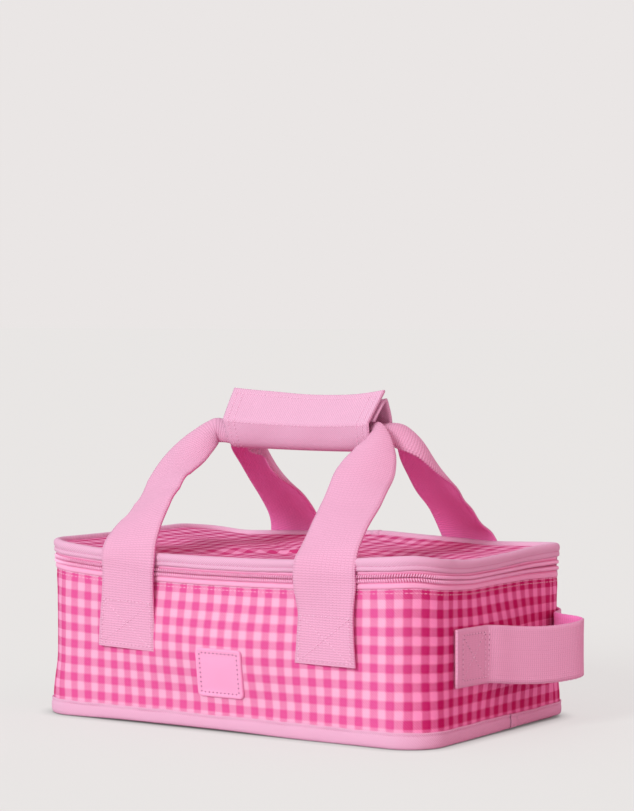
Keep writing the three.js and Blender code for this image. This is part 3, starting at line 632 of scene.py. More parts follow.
def webbing_seam(rows, width, guide, back, corners, lift, mirror=1.0):
    """Points of a seam sewn through webbing: corners are (distance along, share across)."""
    fine = np.linspace(-0.5, 0.5, 39)
    points, normal, along = webbing_face(rows, width, guide, back, 0.45, fine)
    seam = []
    for (a0, b0), (a1, b1) in zip(corners[:-1], corners[1:]):
        count = max(int(math.hypot(a1 - a0, (b1 - b0) * width) / SEAM_STEP), 2)
        for t in np.arange(count) / count:
            row = int(np.clip(np.searchsorted(along, a0 + (a1 - a0) * t), 0, len(along) - 1))
            column = int(round((b0 + (b1 - b0) * t + 0.5) * (len(fine) - 1)))
            seam.append((points[row, column] + normal[row, column] * lift) * (1, mirror, 1))
    return seam


def loop_rows():
    """Plan of the side loop's outer face: sewn flat, bowed out, round a turn and back."""
    plan = []
    for y in (-53.5, -46.0, -38.0, -30.0, -24.0):
        point, _ = wall_point(0, along_at(BAG_LENGTH / 2, y), LOOP_HEIGHT)
        plan.append((point[0] + 2.6, y, LOOP_HEIGHT))
    plan += [
        (143.6, -17.5, 47), (147.2, -9, 46), (151.4, 0, 45.1), (155.6, 9, 44.6), (159.4, 18, 44.5),
        (162.6, 27, 44.8), (164.6, 34.5, 45.2), (165, 40.5, 45.8), (163.2, 45.4, 46.4),
        (158.6, 48.4, 46.9), (152.4, 49.8, 47.2), (146.6, 51.2, 47.4), (142, 53.6, 47.5),
        (139.4, 57.4, 47.5), (138, 62.2, 47.5), (136.6, 67, 47.5), (133.9, 72.4, 47.5),
        (129.4, 78.8, 47.5), (123.2, 84, 47.5),
    ]
    return [(x, y, z, 0, 0, 1) for x, y, z in plan]


# Materials

class Graph:
    """Short calls for making a node tree."""

    def __init__(self, tree):
        self.tree = tree
        tree.nodes.clear()

    def node(self, kind, inputs=None, **settings):
        made = self.tree.nodes.new(kind)
        for key, value in settings.items():
            setattr(made, key, value)
        for key, value in (inputs or {}).items():
            self.feed(made.inputs[key], value)
        return made

    def feed(self, socket, value):
        if isinstance(value, bpy.types.NodeSocket):
            self.tree.links.new(value, socket)
        else:
            socket.default_value = value

    def math(self, operation, a, b=0.0, c=0.0):
        inputs = {0: a, 1: b}
        if operation in ("MULTIPLY_ADD", "WRAP"):
            inputs[2] = c
        return self.node("ShaderNodeMath", inputs, operation=operation).outputs[0]

    def mix(self, share, a, b, blend="MIX"):
        inputs = {0: share, 6: a, 7: b}
        made = self.node("ShaderNodeMix", data_type="RGBA", blend_type=blend)
        for key, value in inputs.items():
            if isinstance(value, (tuple, list)) and len(value) == 3:
                value = (*value, 1.0)
            self.feed(made.inputs[key], value)
        return made.outputs[2]

    def remap(self, value, low, high, to_low=0.0, to_high=1.0, kind="SMOOTHSTEP"):
        made = self.node(
            "ShaderNodeMapRange", {0: value, 1: low, 2: high, 3: to_low, 4: to_high},
            interpolation_type=kind,
        )
        return made.outputs[0]

    def ramp(self, value, low, high, to_low, to_high):
        return self.remap(value, low, high, to_low, to_high, "LINEAR")

    def fade(self, base, pattern, low, high, most, towards):
        """The base with a share of another colour where the pattern is strong."""
        return self.mix(self.ramp(pattern, low, high, 0.0, most), base, towards)

    def flat_place(self):
        """The piece's own flat pattern, in millimetres along and across."""
        place = self.node("ShaderNodeUVMap", uv_map="UVMap")
        split = self.node("ShaderNodeSeparateXYZ", {0: place.outputs[0]})
        return split.outputs[0], split.outputs[1], place.outputs[0]

    def noise(self, vector, scale, detail=2.0, rough=0.5):
        made = self.node(
            "ShaderNodeTexNoise",
            {"Vector": vector, "Scale": scale, "Detail": detail, "Roughness": rough},
        )
        return made.outputs[0]

    def wave(self, value, pitch):
        """A cosine of the value, from 0 to 1."""
        turned = self.math("MULTIPLY", value, 2 * math.pi / pitch)
        return self.math("MULTIPLY_ADD", self.math("COSINE", turned), 0.5, 0.5)

    def stripe(self, value, pitch, edge):
        """1 on one half of each pitch and 0 on the other, with soft edges."""
        part = self.math("FRACT", self.math("DIVIDE", value, pitch))
        away = self.math("ABSOLUTE", self.math("SUBTRACT", part, 0.5))
        return self.remap(away, 0.25 - edge, 0.25 + edge)


def finish_material(graph, base, rough, height, strength, depth, sheen=0.0, specular=0.35,
                    coat=0.0):
    """Ends a material in one Principled shader with its bump, depth in millimetres."""
    bump = graph.node("ShaderNodeBump",
                      {"Height": height, "Strength": strength, "Distance": depth * MM})
    shader = graph.node("ShaderNodeBsdfPrincipled", {
        "Base Color": base, "Roughness": rough, "Specular IOR Level": specular,
        "Sheen Weight": sheen, "Sheen Roughness": 0.45, "Metallic": 0.0, "Coat Weight": coat,
        "Normal": bump.outputs[0],
    })
    graph.node("ShaderNodeOutputMaterial", {0: shader.outputs[0]})


def new_material(name):
    material = bpy.data.materials.new("finish_" + name)
    material.use_nodes = True
    return material, Graph(material.node_tree)


def tint(colour_value, factor):
    return tuple(min(channel * factor, 1.0) for channel in colour_value)


CHECK_START = (5.2, -7.1)
# Painted shade on the bag's short ends, which face away from the light: multipliers for the
# check's light squares and for its dark squares.
PAINTED_END_SHADE_LIGHT = (1.06, 0.60, 0.85)
PAINTED_END_SHADE_DARK = (0.68, 0.05, 0.34)


def gingham_material(name, cloth, make, depth=0.0):
    """Check woven from two colours of yarn: where they cross, both show in a fine twill.

    depth is the share of the painted shade of the bag's ends that the whole cloth takes."""
    material, g = new_material(name)
    u, v, place = g.flat_place()
    drift = g.noise(place, 0.035, 1.0)
    u = g.math("MULTIPLY_ADD", g.math("SUBTRACT", drift, 0.5), 1.2, u)
    pitch = 2 * make.check / MM
    warp = g.stripe(g.math("ADD", u, CHECK_START[0]), pitch, 0.008)
    weft = g.stripe(g.math("ADD", v, CHECK_START[1]), pitch, 0.008)
    twill = g.wave(g.math("SUBTRACT", u, v), 1.5)
    hatch = g.remap(twill, 0.3, 0.7)
    over = g.math("MULTIPLY_ADD", g.math("SUBTRACT", hatch, 0.5), 0.9, 0.54)
    dyed = g.math("ADD", g.math("MULTIPLY", warp, over),
                  g.math("MULTIPLY", weft, g.math("SUBTRACT", 1.08, over)))
    base = g.mix(dyed, tuple(cloth.gingham_light), tuple(cloth.gingham_dark))
    slub = g.noise(place, 0.9, 3.0, 0.6)
    deep = tint(cloth.gingham_dark, 0.8)
    base = g.fade(base, slub, 0.3, 0.8, 0.14, deep)
    base = g.mix(g.math("MULTIPLY", g.math("SUBTRACT", 1.0, hatch), 0.16), base, deep)
    # Painted shade: near the short ends (x beyond 108 to 138 mm), and everywhere by depth, the
    # check is multiplied by a deeper pink.
    where = g.node("ShaderNodeTexCoord").outputs["Object"]
    side = g.math("ABSOLUTE", g.node("ShaderNodeSeparateXYZ", {0: where}).outputs[0])
    painted_end_shade = g.mix(dyed, PAINTED_END_SHADE_LIGHT, PAINTED_END_SHADE_DARK)
    base = g.mix(g.math("MAXIMUM", g.remap(side, 0.108, 0.138), depth), base, painted_end_shade, "MULTIPLY")
    height = g.math("ADD", g.math("MULTIPLY", twill, 0.8), g.math("MULTIPLY", slub, 0.6))
    finish_material(g, base, g.ramp(slub, 0.2, 0.8, 0.7, 0.85), height, 0.5, 0.25, specular=0.06)
    return material


def twill_material(name, base_colour, pitch=1.5, lean=1.0, contrast=0.34):
    """Twill woven in one colour, with raised diagonal lines."""
    material, g = new_material(name)
    u, v, place = g.flat_place()
    diagonal = g.math("MULTIPLY_ADD", v, lean, u)
    waver = g.noise(place, 0.25, 2.0)
    diagonal = g.math("MULTIPLY_ADD", waver, 0.5, diagonal)
    line = g.wave(diagonal, pitch)
    yarn = g.wave(g.math("MULTIPLY_ADD", v, -lean, u), pitch * 0.62)
    patchy = g.noise(place, 0.06, 2.0)
    shade = g.math("ADD", g.math("MULTIPLY", line, contrast), g.math("MULTIPLY", yarn, 0.05))
    base = g.mix(shade, tint(base_colour, 1.0), tint(base_colour, 0.3))
    base = g.fade(base, patchy, 0.35, 0.7, 0.12, tint(base_colour, 0.75))
    height = g.math("SUBTRACT", g.math("MULTIPLY", yarn, 0.25), line)
    finish_material(g, base, g.ramp(patchy, 0.3, 0.7, 0.68, 0.82), height, 0.5, 0.22,
                    specular=0.12)
    return material


def webbing_material(name, base_colour):
    """Woven tape: crosswise ribs and fine lengthwise yarns."""
    material, g = new_material(name)
    u, v, place = g.flat_place()
    rib = g.wave(u, RIB_PITCH)
    shift = g.math("MULTIPLY", g.stripe(v, 2.4, 0.05), RIB_PITCH / 2)
    bead = g.wave(g.math("ADD", u, shift), RIB_PITCH)
    yarn = g.wave(v, 1.2)
    rough = g.noise(place, 0.7, 3.0, 0.6)
    patchy = g.noise(place, 0.05, 2.0)
    dark = g.math("ADD", g.math("MULTIPLY", g.math("SUBTRACT", 1.0, rib), 0.18),
                  g.math("MULTIPLY", g.math("MULTIPLY", bead, yarn), 0.14))
    dark = g.math("ADD", dark, g.math("MULTIPLY", rough, 0.06))
    base = g.mix(dark, base_colour, tint(base_colour, 0.3))
    base = g.fade(base, patchy, 0.35, 0.7, 0.12, tint(base_colour, 0.75))
    height = g.math("ADD", g.math("MULTIPLY", bead, yarn), g.math("MULTIPLY", rib, 0.7))
    finish_material(g, base, g.ramp(rough, 0.3, 0.7, 0.62, 0.78), height, 0.5, 0.25, specular=0.12)
    return material


def tape_material(name, base_colour):
    """Zip tape: fine crosswise ribs crossed by finer yarns."""
    material, g = new_material(name)
    u, v, place = g.flat_place()
    rib = g.wave(v, 0.9)
    yarn = g.wave(u, 0.8)
    soft = g.noise(place, 0.12, 2.0)
    dark = g.math("ADD", g.math("MULTIPLY", rib, 0.10), g.math("MULTIPLY", yarn, 0.06))
    base = g.mix(dark, base_colour, tint(base_colour, 0.4))
    base = g.fade(base, soft, 0.3, 0.7, 0.2, tint(base_colour, 0.75))
    height = g.math("ADD", rib, g.math("MULTIPLY", yarn, 0.5))
    finish_material(g, base, g.ramp(soft, 0.3, 0.7, 0.6, 0.75), height, 0.35, 0.15, specular=0.15)
    return material


def moulded_material(name, base_colour, rough, grain, sheen=0.0, specular=0.5, coat=0.0):
    """Nylon, rubber, painted metal or film: nearly plain, with a fine grain and faint wear."""
    material, g = new_material(name)
    place = g.node("ShaderNodeTexCoord").outputs["Object"]
    fine = g.noise(place, grain, 4.0, 0.6)
    broad = g.noise(place, 28.0, 2.0)
    base = g.fade(tuple(base_colour), broad, 0.35, 0.7, 0.22, tint(base_colour, 0.8))
    base = g.fade(base, fine, 0.45, 0.75, 0.12, tint(base_colour, 1.15))
    finish_material(g, base, g.ramp(fine, 0.3, 0.7, rough - 0.06, rough + 0.08), fine, 0.25, 0.15,
                    sheen, specular, coat)
    return material


def lining_material(cloth):
    """Thin film lining with soft creases and a pressed grain."""
    material, g = new_material("lining")
    place = g.node("ShaderNodeTexCoord").outputs["Object"]
    crease = g.noise(place, 34.0, 3.0, 0.55)
    ridge = g.math("ABSOLUTE", g.math("SUBTRACT", crease, 0.5))
    grain = g.noise(place, 900.0, 2.0)
    # Darker along the crease lines.
    crease_darkening = g.remap(ridge, 0.0, 0.12, 0.25, 0.0)
    base = g.mix(crease_darkening, tuple(cloth.lining), tint(cloth.lining, 0.8))
    height = g.math("ADD", g.math("MULTIPLY", ridge, 6.0), g.math("MULTIPLY", grain, 0.3))
    finish_material(g, base, g.ramp(grain, 0.3, 0.7, 0.3, 0.42), height, 0.35, 0.5, specular=0.5)
    return material


def closure_material():
    """Hook and loop tape: a dense pile."""
    material, g = new_material("closure_tape")
    place = g.node("ShaderNodeTexCoord").outputs["Object"]
    pile = g.noise(place, 1500.0, 3.0, 0.7)
    base = g.mix(g.remap(pile, 0.3, 0.7), (0.55, 0.20, 0.34), (0.86, 0.44, 0.62))
    finish_material(g, base, g.ramp(pile, 0.3, 0.7, 0.75, 0.9), pile, 0.8, 0.4, 0.3, 0.2)
    return material


def materials(context):
    """Every finish of the bag, made once and then found by name."""
    cloth = context.scene.lunch_bag_cloth
    make = context.scene.lunch_bag_make
    makers = {
        "gingham_cloth": lambda: gingham_material("gingham_cloth", cloth, make),
        # The lid's gingham takes 0.55 of the ends' painted shade, as painted shade on the top of
        # the lid.
        "gingham_lid": lambda: gingham_material("gingham_lid", cloth, make, 0.55),
        "trim_twill": lambda: twill_material("trim_twill", tuple(cloth.trim)),
        "grip_twill": lambda: twill_material("grip_twill", tint(cloth.trim, 0.95), 1.45, 0.85,
                                             0.22),
        "base_cloth": lambda: twill_material("base_cloth", tint(cloth.gingham_dark, 1.0)),
        "webbing": lambda: webbing_material("webbing", tuple(cloth.webbing)),
        "webbing_back": lambda: webbing_material("webbing_back", tuple(cloth.webbing_back)),
        "zip_tape": lambda: tape_material("zip_tape", tuple(cloth.zip_tape)),
        # Painted shade: a darker, deeper pink for the tape in the recess behind the coil and on
        # its edges in the gap.
        "zip_tape_recess_shade": lambda: tape_material("zip_tape_recess_shade", (0.90, 0.29, 0.52)),
        "zip_coil": lambda: moulded_material("zip_coil", cloth.zip_coil, 0.42, 1200.0),
        "zip_metal": lambda: moulded_material("zip_metal", tint(cloth.trim, 0.95), 0.3, 700.0,
                                              specular=0.6, coat=0.35),
        "patch_rubber": lambda: moulded_material("patch_rubber", cloth.patch, 0.5, 900.0,
                                                 specular=0.4),
        "thread": lambda: moulded_material("thread", cloth.thread, 0.55, 2500.0, sheen=0.2),
        # Thread with painted shade: darker than the plain thread, for stitches sunk in their
        # groove and for dots in needle holes.
        "shaded_seam_thread": lambda: moulded_material("shaded_seam_thread", (0.66, 0.25, 0.43), 0.6, 2500.0),
        # Painted shade: near-black bodies for the shade inside needle holes and in the cracks of
        # the bindings' joints.
        "painted_hole_shade": lambda: moulded_material("painted_hole_shade", (0.20, 0.045, 0.13), 0.6, 2500.0),
        "lining": lambda: lining_material(cloth),
        "closure_tape": closure_material,
    }
    found = {}
    for name, maker in makers.items():
        found[name] = bpy.data.materials.get("finish_" + name) or maker()
    return found


# Geometry nodes

def repeat_tree():
    """Sets a small rounded body at even steps along guide lines, turned along the line."""
    tree = bpy.data.node_groups.get("repeat_along")
    if tree is not None:
        return tree
    tree = bpy.data.node_groups.new("repeat_along", "GeometryNodeTree")
    face = tree.interface
    for name, kind in (("Guide", "Geometry"), ("Pitch", "Float"), ("Length", "Float"),
                       ("Width", "Float"), ("Height", "Float"), ("Slant", "Float"),
                       ("Finish", "Material")):
        face.new_socket(name, in_out="INPUT", socket_type="NodeSocket" + kind)
    face.new_socket("Geometry", in_out="OUTPUT", socket_type="NodeSocketGeometry")
    g = Graph(tree)
    given = g.node("NodeGroupInput")
    curve = g.node("GeometryNodeMeshToCurve", {0: given.outputs["Guide"]})
    spaced = g.node("GeometryNodeResampleCurve", {"Curve": curve.outputs[0]}, mode="LENGTH")
    g.feed(spaced.inputs["Length"], given.outputs["Pitch"])
    body = g.node("GeometryNodeMeshUVSphere", {"Segments": 6, "Rings": 4, "Radius": 0.5})
    smoothed = g.node("GeometryNodeSetShadeSmooth", {0: body.outputs[0]})
    tangent = g.node("GeometryNodeInputTangent")
    out = g.node("GeometryNodeInputNamedAttribute", {"Name": "out"}, data_type="FLOAT_VECTOR")
    slant = g.node("ShaderNodeCombineXYZ", {2: given.outputs["Slant"]})
    first = g.node("FunctionNodeAlignRotationToVector",
                   {"Vector": tangent.outputs[0]}, axis="X")
    second = g.node("FunctionNodeAlignRotationToVector",
                    {"Rotation": first.outputs[0], "Vector": out.outputs[0]}, axis="Z",
                    pivot_axis="X")
    turn = g.node("FunctionNodeEulerToRotation", {0: slant.outputs[0]})
    turned = g.node("FunctionNodeRotateRotation",
                    {0: second.outputs[0], 1: turn.outputs[0]}, rotation_space="LOCAL")
    size = g.node("ShaderNodeCombineXYZ", {0: given.outputs["Length"], 1: given.outputs["Width"],
                                           2: given.outputs["Height"]})
    placed = g.node("GeometryNodeInstanceOnPoints",
                    {"Points": spaced.outputs[0], "Instance": smoothed.outputs[0],
                     "Rotation": turned.outputs[0], "Scale": size.outputs[0]})
    real = g.node("GeometryNodeRealizeInstances", {0: placed.outputs[0]})
    painted = g.node("GeometryNodeSetMaterial",
                     {"Geometry": real.outputs[0], "Material": given.outputs["Finish"]})
    g.node("NodeGroupOutput", {0: painted.outputs[0]})
    return tree


def repeat_along(name, lines, outs, pitch, size, finish, slant=0.0):
    """One mesh of small bodies along the lines; outs gives the outward direction at each point."""
    points, edges, directions = [], [], []
    for line, out in zip(lines, outs):
        start = len(points)
        points += [tuple(p) for p in np.asarray(line)]
        directions += [tuple(d) for d in np.broadcast_to(np.asarray(out), (len(line), 3))]
        edges += [(start + k, start + k + 1) for k in range(len(line) - 1)]
    guide = bpy.data.meshes.new(name + "_guide")
    guide.from_pydata((np.asarray(points) * MM).tolist(), edges, [])
    layer = guide.attributes.new("out", "FLOAT_VECTOR", "POINT")
    layer.data.foreach_set("vector", np.asarray(directions, dtype=np.float32).ravel())
    holder = bpy.data.objects.new(name + "_guide", guide)
    bpy.context.collection.objects.link(holder)
    modifier = holder.modifiers.new("repeat", "NODES")
    modifier.node_group = repeat_tree()
    values = {"Pitch": pitch, "Length": size[0] * MM, "Width": size[1] * MM,
              "Height": size[2] * MM, "Slant": slant, "Finish": finish}
    for item in modifier.node_group.interface.items_tree:
        if item.item_type == "SOCKET" and item.in_out == "INPUT" and item.name in values:
            modifier[item.identifier] = values[item.name]
    depsgraph = bpy.context.evaluated_depsgraph_get()
    mesh = bpy.data.meshes.new_from_object(holder.evaluated_get(depsgraph))
    holder.modifiers.remove(modifier)
    bpy.data.objects.remove(holder)
    mesh.name = name
    if not mesh.materials:
        mesh.materials.append(finish)
    obj = bpy.data.objects.new(name, mesh)
    bpy.context.collection.objects.link(obj)
    return obj


def shrunk(ring, share):
    """A ring drawn in level towards the bag's middle."""
    line = ring.copy()
    line[:, :2] *= share
    return line


def gathered(seams):
    """Seams given as a line and its outward directions, as a list of each."""
    lines, outs = zip(*seams)
    return list(lines), list(outs)


def wall_seam(seed, start, end, z, offset, step=1.2):
    """A line on the wall between two distances round the bag, with its outward directions."""
    line, outs = [], []
    for along in np.arange(start, end, step):
        point, normal = wall_point(seed, along, z, offset)
        line.append(point)
        outs.append(normal)
    return line, outs


# Pieces

class LUNCHBAG_OT_walls(Operator):
    """Makes the gingham wall, its quilted lining, the base pad and the cloth under the base"""

    bl_idname = "lunchbag.walls"
    bl_label = "Walls and Base"

    def execute(self, context):
        seed = context.scene.lunch_bag_make.seed
        finish = materials(context)
        heights = list(np.linspace(6.5, 80.0, 31)) + [82.0, 84.0, 85.4, 86.4, 87.2]
        profile = [(0.0, z) for z in heights]
        profile += [(-0.25, 87.75), (-0.7, 87.8), (-1.1, 87.0), (-1.0, 70.0), (-1.0, 50.0),
                    (-1.0, 30.0), (-1.0, 12.0), (-0.8, 2.5), (-0.4, 2.2), (-0.05, 3.0)]

        def shape(line, k):
            if profile[k][1] > STRIP_TOP - 3:
                fold = wall_fold(seed, ROUND[:-1], profile[k][1])
                line = line + OUTWARD * fold[:, None]
            return line

        wall = band("gingham_wall", profile, [finish["gingham_cloth"]], shape=shape, upright=True)
        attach(wall, "body")
        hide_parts("outer_wall")

        inner = [(-3.0, 1.4), (-3.0, 30.0), (-3.0, 60.0), (-2.6, 79.0), (-1.7, 83.5), (-1.7, 85.2),
                 (-2.6, 86.0), (-3.8, 85.8), (-4.9, 84.8), (-5.3, 83.2)]
        inner += [(-5.4, z) for z in np.linspace(80.0, 9.0, 16)]
        inner += [(-5.6, 6.2), (-6.4, 5.3), (-7.0, 3.4), (-7.0, 1.4)]

        def puff(line, k):
            if inner[k][0] < -5.2 and inner[k][1] > 6:
                soft = unevenness(seed + 5, ROUND[:-1], inner[k][1], 0.5, 30.0, 90.0, 8)
                line = line + OUTWARD * soft[:, None]
            return line

        lining = band("lining_wall", inner, [finish["lining"]], shape=puff)
        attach(lining, "body")
        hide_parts("wall_lining", "wall_foam")

        pad = self.pad("base_pad", [(-7.4, 1.6), (-7.6, 3.2), (-8.4, 4.6), (-10.0, 5.3)], 5.5, 0.9,
                       finish["lining"], 0.35)
        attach(pad, "body")
        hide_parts("base_lining", "base_foam")
        cover = self.pad("base_cover", [(-3.6, 0.3), (-3.6, 0.7), (-4.2, 0.8), (-6.0, 0.8)], 0.8,
                         0.0, finish["base_cloth"], 0.0)
        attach(cover, "body")
        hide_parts("base_panel")
        return {"FINISHED"}

    @staticmethod
    def pad(name, edge, top, bottom, finish, puff):
        """A flat pad: edge runs from its lower edge up to its upper face."""
        rings = []
        for share in (0.12, 0.3, 0.5, 0.68, 0.82, 0.92):
            line = shrunk(outline(top, edge[-1][0]), share)
            swell = puff * np.cos(line[:, 0] / 17.0) * np.cos(line[:, 1] / 15.0)
            line[:, 2] = top + swell
            rings.append(line)
        for offset, z in reversed(edge):
            line = outline(z, offset)
            line[:, 2] = z
            rings.append(line)
        for share in (0.9, 0.6, 0.3, 0.12):
            line = shrunk(outline(bottom, edge[0][0]), share)
            line[:, 2] = bottom
            rings.append(line)
        return disc(name, rings, (0, 0, top + puff), (0, 0, bottom), [finish])


# Where the bindings' ends lap: distance round the bag, width and height of the lap.
FOOT_LAP = (52.9, 12.0, 0.5)
RIM_LAP = (687.9, 10.0, 0.4)

# Cross-section of the foot's binding: offset from the outline, nominal height.
FOOT_EDGE = [
    (0.15, 9.0), (0.6, 9.35), (1.0, 9.1), (1.05, 8.4), (0.6, 7.7), (0.95, 7.0), (1.15, 6.0),
    (1.2, 4.6), (1.15, 3.0), (0.9, 1.5), (0.3, 0.45), (-0.6, 0.05), (-2.0, 0.0), (-3.4, 0.02),
    (-3.4, 0.28), (-1.2, 0.5), (0.0, 1.6), (0.1, 4.0), (0.1, 7.4),
]

# Cross-section of the lid's binding: offset from the outline, nominal height.
LID_EDGE = [
    (1.05, 96.55), (1.5, 96.9), (1.65, 97.8), (1.6, 98.6), (1.2, 99.3), (1.7, 100.0),
    (1.95, 101.2), (1.9, 102.3), (1.45, 103.3), (0.6, 104.0), (-0.4, 104.25), (-1.4, 104.0),
    (-2.3, 103.3),
    (-2.9, 102.3), (-3.2, 101.2), (-2.6, 100.6), (-1.6, 99.8), (-0.6, 98.4), (0.2, 97.2),
    (0.6, 96.6),
]

# The foot's binding hangs a little clear of the ground at the far right corner and in front.
FOOT_LIFT = hump(BAG_LENGTH / 2, 62.0, 1.5, 75.0) + hump(-32.0, -86.0, 1.0, 62.0, 4)


def foot_slack(seed, place):
    """How far the foot's binding stands out or in along its length."""
    slack = unevenness(seed + 11, ROUND[:-1], place[1], 0.18, 12.0, 60.0, 9)
    return slack * (1.0 if place[0] > 0.3 and place[1] < 8.8 else 0.25)


def lid_edge_lean(seed, z):
    """How far the lid's binding leans out or in along its length."""
    top = np.clip((z - 96.0) / 8.2, 0.0, 1.0)
    lean = unevenness(seed + 21, ROUND[:-1], 0.0, 0.55, 40.0, 160.0, 7) * top
    crimp = unevenness(seed + 22, ROUND[:-1], 0.0, 0.14, 10.0, 26.0, 7)
    return lean + crimp


def lid_edge_rise(seed, z):
    """How far the lower part of the lid's binding rises or drops along its length."""
    foot = np.clip((RIM_TOP - z) / 8.0, 0.0, 1.0)
    return unevenness(seed + 23, ROUND[:-1], 0.0, 0.32, 26.0, 90.0, 7) * foot


class LUNCHBAG_OT_bindings(Operator):
    """Makes the folded twill strips round the foot of the wall and round the lid's edge"""

    bl_idname = "lunchbag.bindings"
    bl_label = "Bindings"

    def execute(self, context):
        seed = context.scene.lunch_bag_make.seed
        finish = materials(context)
        foot = FOOT_EDGE

        def foot_shape(line, k):
            line = line + OUTWARD * foot_slack(seed, foot[k])[:, None]
            line[:, 2] = np.maximum(line[:, 2], 0.0) + FOOT_LIFT * max(1.0 - foot[k][1] / 6.0, 0.0)
            if foot[k][1] > 6.0:
                line[:, 2] += unevenness(seed + 12, ROUND[:-1], 0.0, 0.25, 18.0, 90.0, 7)
            return line

        foot_strip = band("base_binding_strip", foot, [finish["trim_twill"]], shape=foot_shape)
        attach(foot_strip, "body")
        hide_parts("base_binding")

        def lapped(line, k):
            line = foot_shape(line, k)
            return line + OUTWARD * self.lap(FOOT_LAP, foot[k][0])[:, None]

        span = self.lap_span(FOOT_LAP)
        lap = band("base_binding_lap", foot, [finish["trim_twill"]], span, lapped)
        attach(lap, "body")
        self.crack("base_binding_joint", foot[1:11], foot_shape, FOOT_LAP, "body", finish, foot)

        rim = LID_EDGE

        def rim_shape(line, k):
            line = line + OUTWARD * lid_edge_lean(seed, rim[k][1])[:, None]
            line[:, 2] += lid_edge_rise(seed, rim[k][1])
            return line

        rim_strip = band("lid_binding_strip", rim, [finish["trim_twill"]], shape=rim_shape)
        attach(rim_strip, "lid")
        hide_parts("lid_binding")

        def rim_lapped(line, k):
            line = rim_shape(line, k)
            stand = self.lap(RIM_LAP, 1.0)
            if rim[k][1] > 101.0:
                line[:, 2] += stand
            elif rim[k][0] > 0.5:
                line += OUTWARD * stand[:, None]
            return line

        span = self.lap_span(RIM_LAP)
        lap = band("lid_binding_lap", rim, [finish["trim_twill"]], span, rim_lapped)
        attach(lap, "lid")
        self.crack("lid_binding_joint", rim[7:16], rim_shape, RIM_LAP, "lid", finish, rim)
        return {"FINISHED"}

    @staticmethod
    def lap(place, offset):
        """How far a binding's upper end stands off its lower one, for each station."""
        at, width, height = place
        share = (ROUND[:-1] - (at - width)) / width
        return height * np.clip(share, 0.1, 1.0) * (1.0 if offset > 0.05 else 0.0)

    @staticmethod
    def lap_span(place):
        at, width, _ = place
        kept = np.flatnonzero((ROUND[:-1] >= at - width) & (ROUND[:-1] <= at))
        return int(kept[0]), len(kept)

    def crack(self, name, edge, shape, place, body, finish, whole):
        """Painted shade: a row of dark bodies in the crack where a binding's two ends meet."""
        span = self.lap_span(place)
        station = (span[0] + span[1] - 1) % STATIONS
        line = []
        for offset, z in edge:
            ring = shape(outline(z, offset + 0.3), whole.index((offset, z)))
            line.append(ring[station])
        thread = (1.3, 0.5, 0.3)
        joint = repeat_along(name, [line], [OUTWARD[station]], 1.1 * MM, thread,
                             finish["painted_hole_shade"])
        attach(joint, body)


class LUNCHBAG_OT_zip(Operator):
    """Makes the zip: two woven tapes, the coil's two rows, and the cloth hinge at the back"""

    bl_idname = "lunchbag.zip"
    bl_label = "Zip and Hinge"

    def execute(self, context):
        make = context.scene.lunch_bag_make
        finish = materials(context)
        first, count = stations_before(ZIP_BACK_END)
        lower = [(0.5, 86.9), (0.75, 87.5), (0.8, 88.6), (0.6, 89.4), (0.35, 89.6), (0.1, 89.8),
                 (0.1, 92.5), (-1.2, 92.5), (-1.4, 88.5), (-1.2, 88.0), (0.0, 87.9), (0.2, 87.0)]
        tapes = [finish["zip_tape"], finish["zip_tape_recess_shade"]]
        # The tape's face behind the coil and its top edge in the gap take the painted recess
        # shade.
        inner = [int(k in (5, 6)) for k in range(len(lower))]
        tape = band("zip_tape_lower", lower, tapes, (first, count), ring_material=inner)
        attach(tape, "body")
        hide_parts("lower_zip_tape")

        upper = [(0.1, 92.75), (0.1, 95.3), (0.2, 95.5), (0.4, 95.8), (0.4, 96.3), (0.0, 96.6),
                 (0.2, 96.9), (0.1, 97.6), (-0.6, 98.4), (-1.2, 98.6), (-1.4, 97.0), (-1.3, 92.75)]
        # The tape's face behind the coil and its lower edge in the gap take the painted recess
        # shade.
        inner = [int(k in (0, len(upper) - 1)) for k in range(len(upper))]
        tape = band("zip_tape_upper", upper, tapes, (first, count), ring_material=inner)
        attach(tape, "lid")
        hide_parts("upper_zip_tape", "upper_zip_tape_left")

        hinge = [(0.4, 86.9), (0.6, 88.0), (0.35, 90.0), (0.1, 92.5), (0.3, 95.0), (0.5, 96.9),
                 (0.1, 98.4), (-0.6, 98.6), (-0.8, 96.6), (-0.9, 94.4), (-1.1, 92.0), (-1.0, 90.0),
                 (-0.7, 88.0), (-0.2, 87.0)]
        back = ((first + count - 1) % STATIONS, STATIONS - count + 2)
        hinge_band = band("hinge_cloth", hinge, [finish["trim_twill"]], back)
        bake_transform(hinge_band)
        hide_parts("back_hinge_band")

        stations = (first + np.arange(count)) % STATIONS
        for name, z, slant, body, nodes in (
            ("zip_coil_lower", 91.35, 0.42, "body", ("lower_zip_teeth", "lower_zip_teeth_left")),
            ("zip_coil_upper", 93.95, -0.42, "lid", ("upper_zip_teeth", "upper_zip_teeth_left")),
        ):
            line = outline(z, 0.8)[stations]
            coil = repeat_along(name, [line], [OUTWARD[stations]], make.coil, (0.92, 2.9, 1.7),
                                finish["zip_coil"], slant)
            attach(coil, body)
            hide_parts(*nodes)
        for node in ("zip_slider", "slider_pull"):
            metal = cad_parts[node]
            metal.data.materials.clear()
            metal.data.materials.append(finish["zip_metal"])
        return {"FINISHED"}


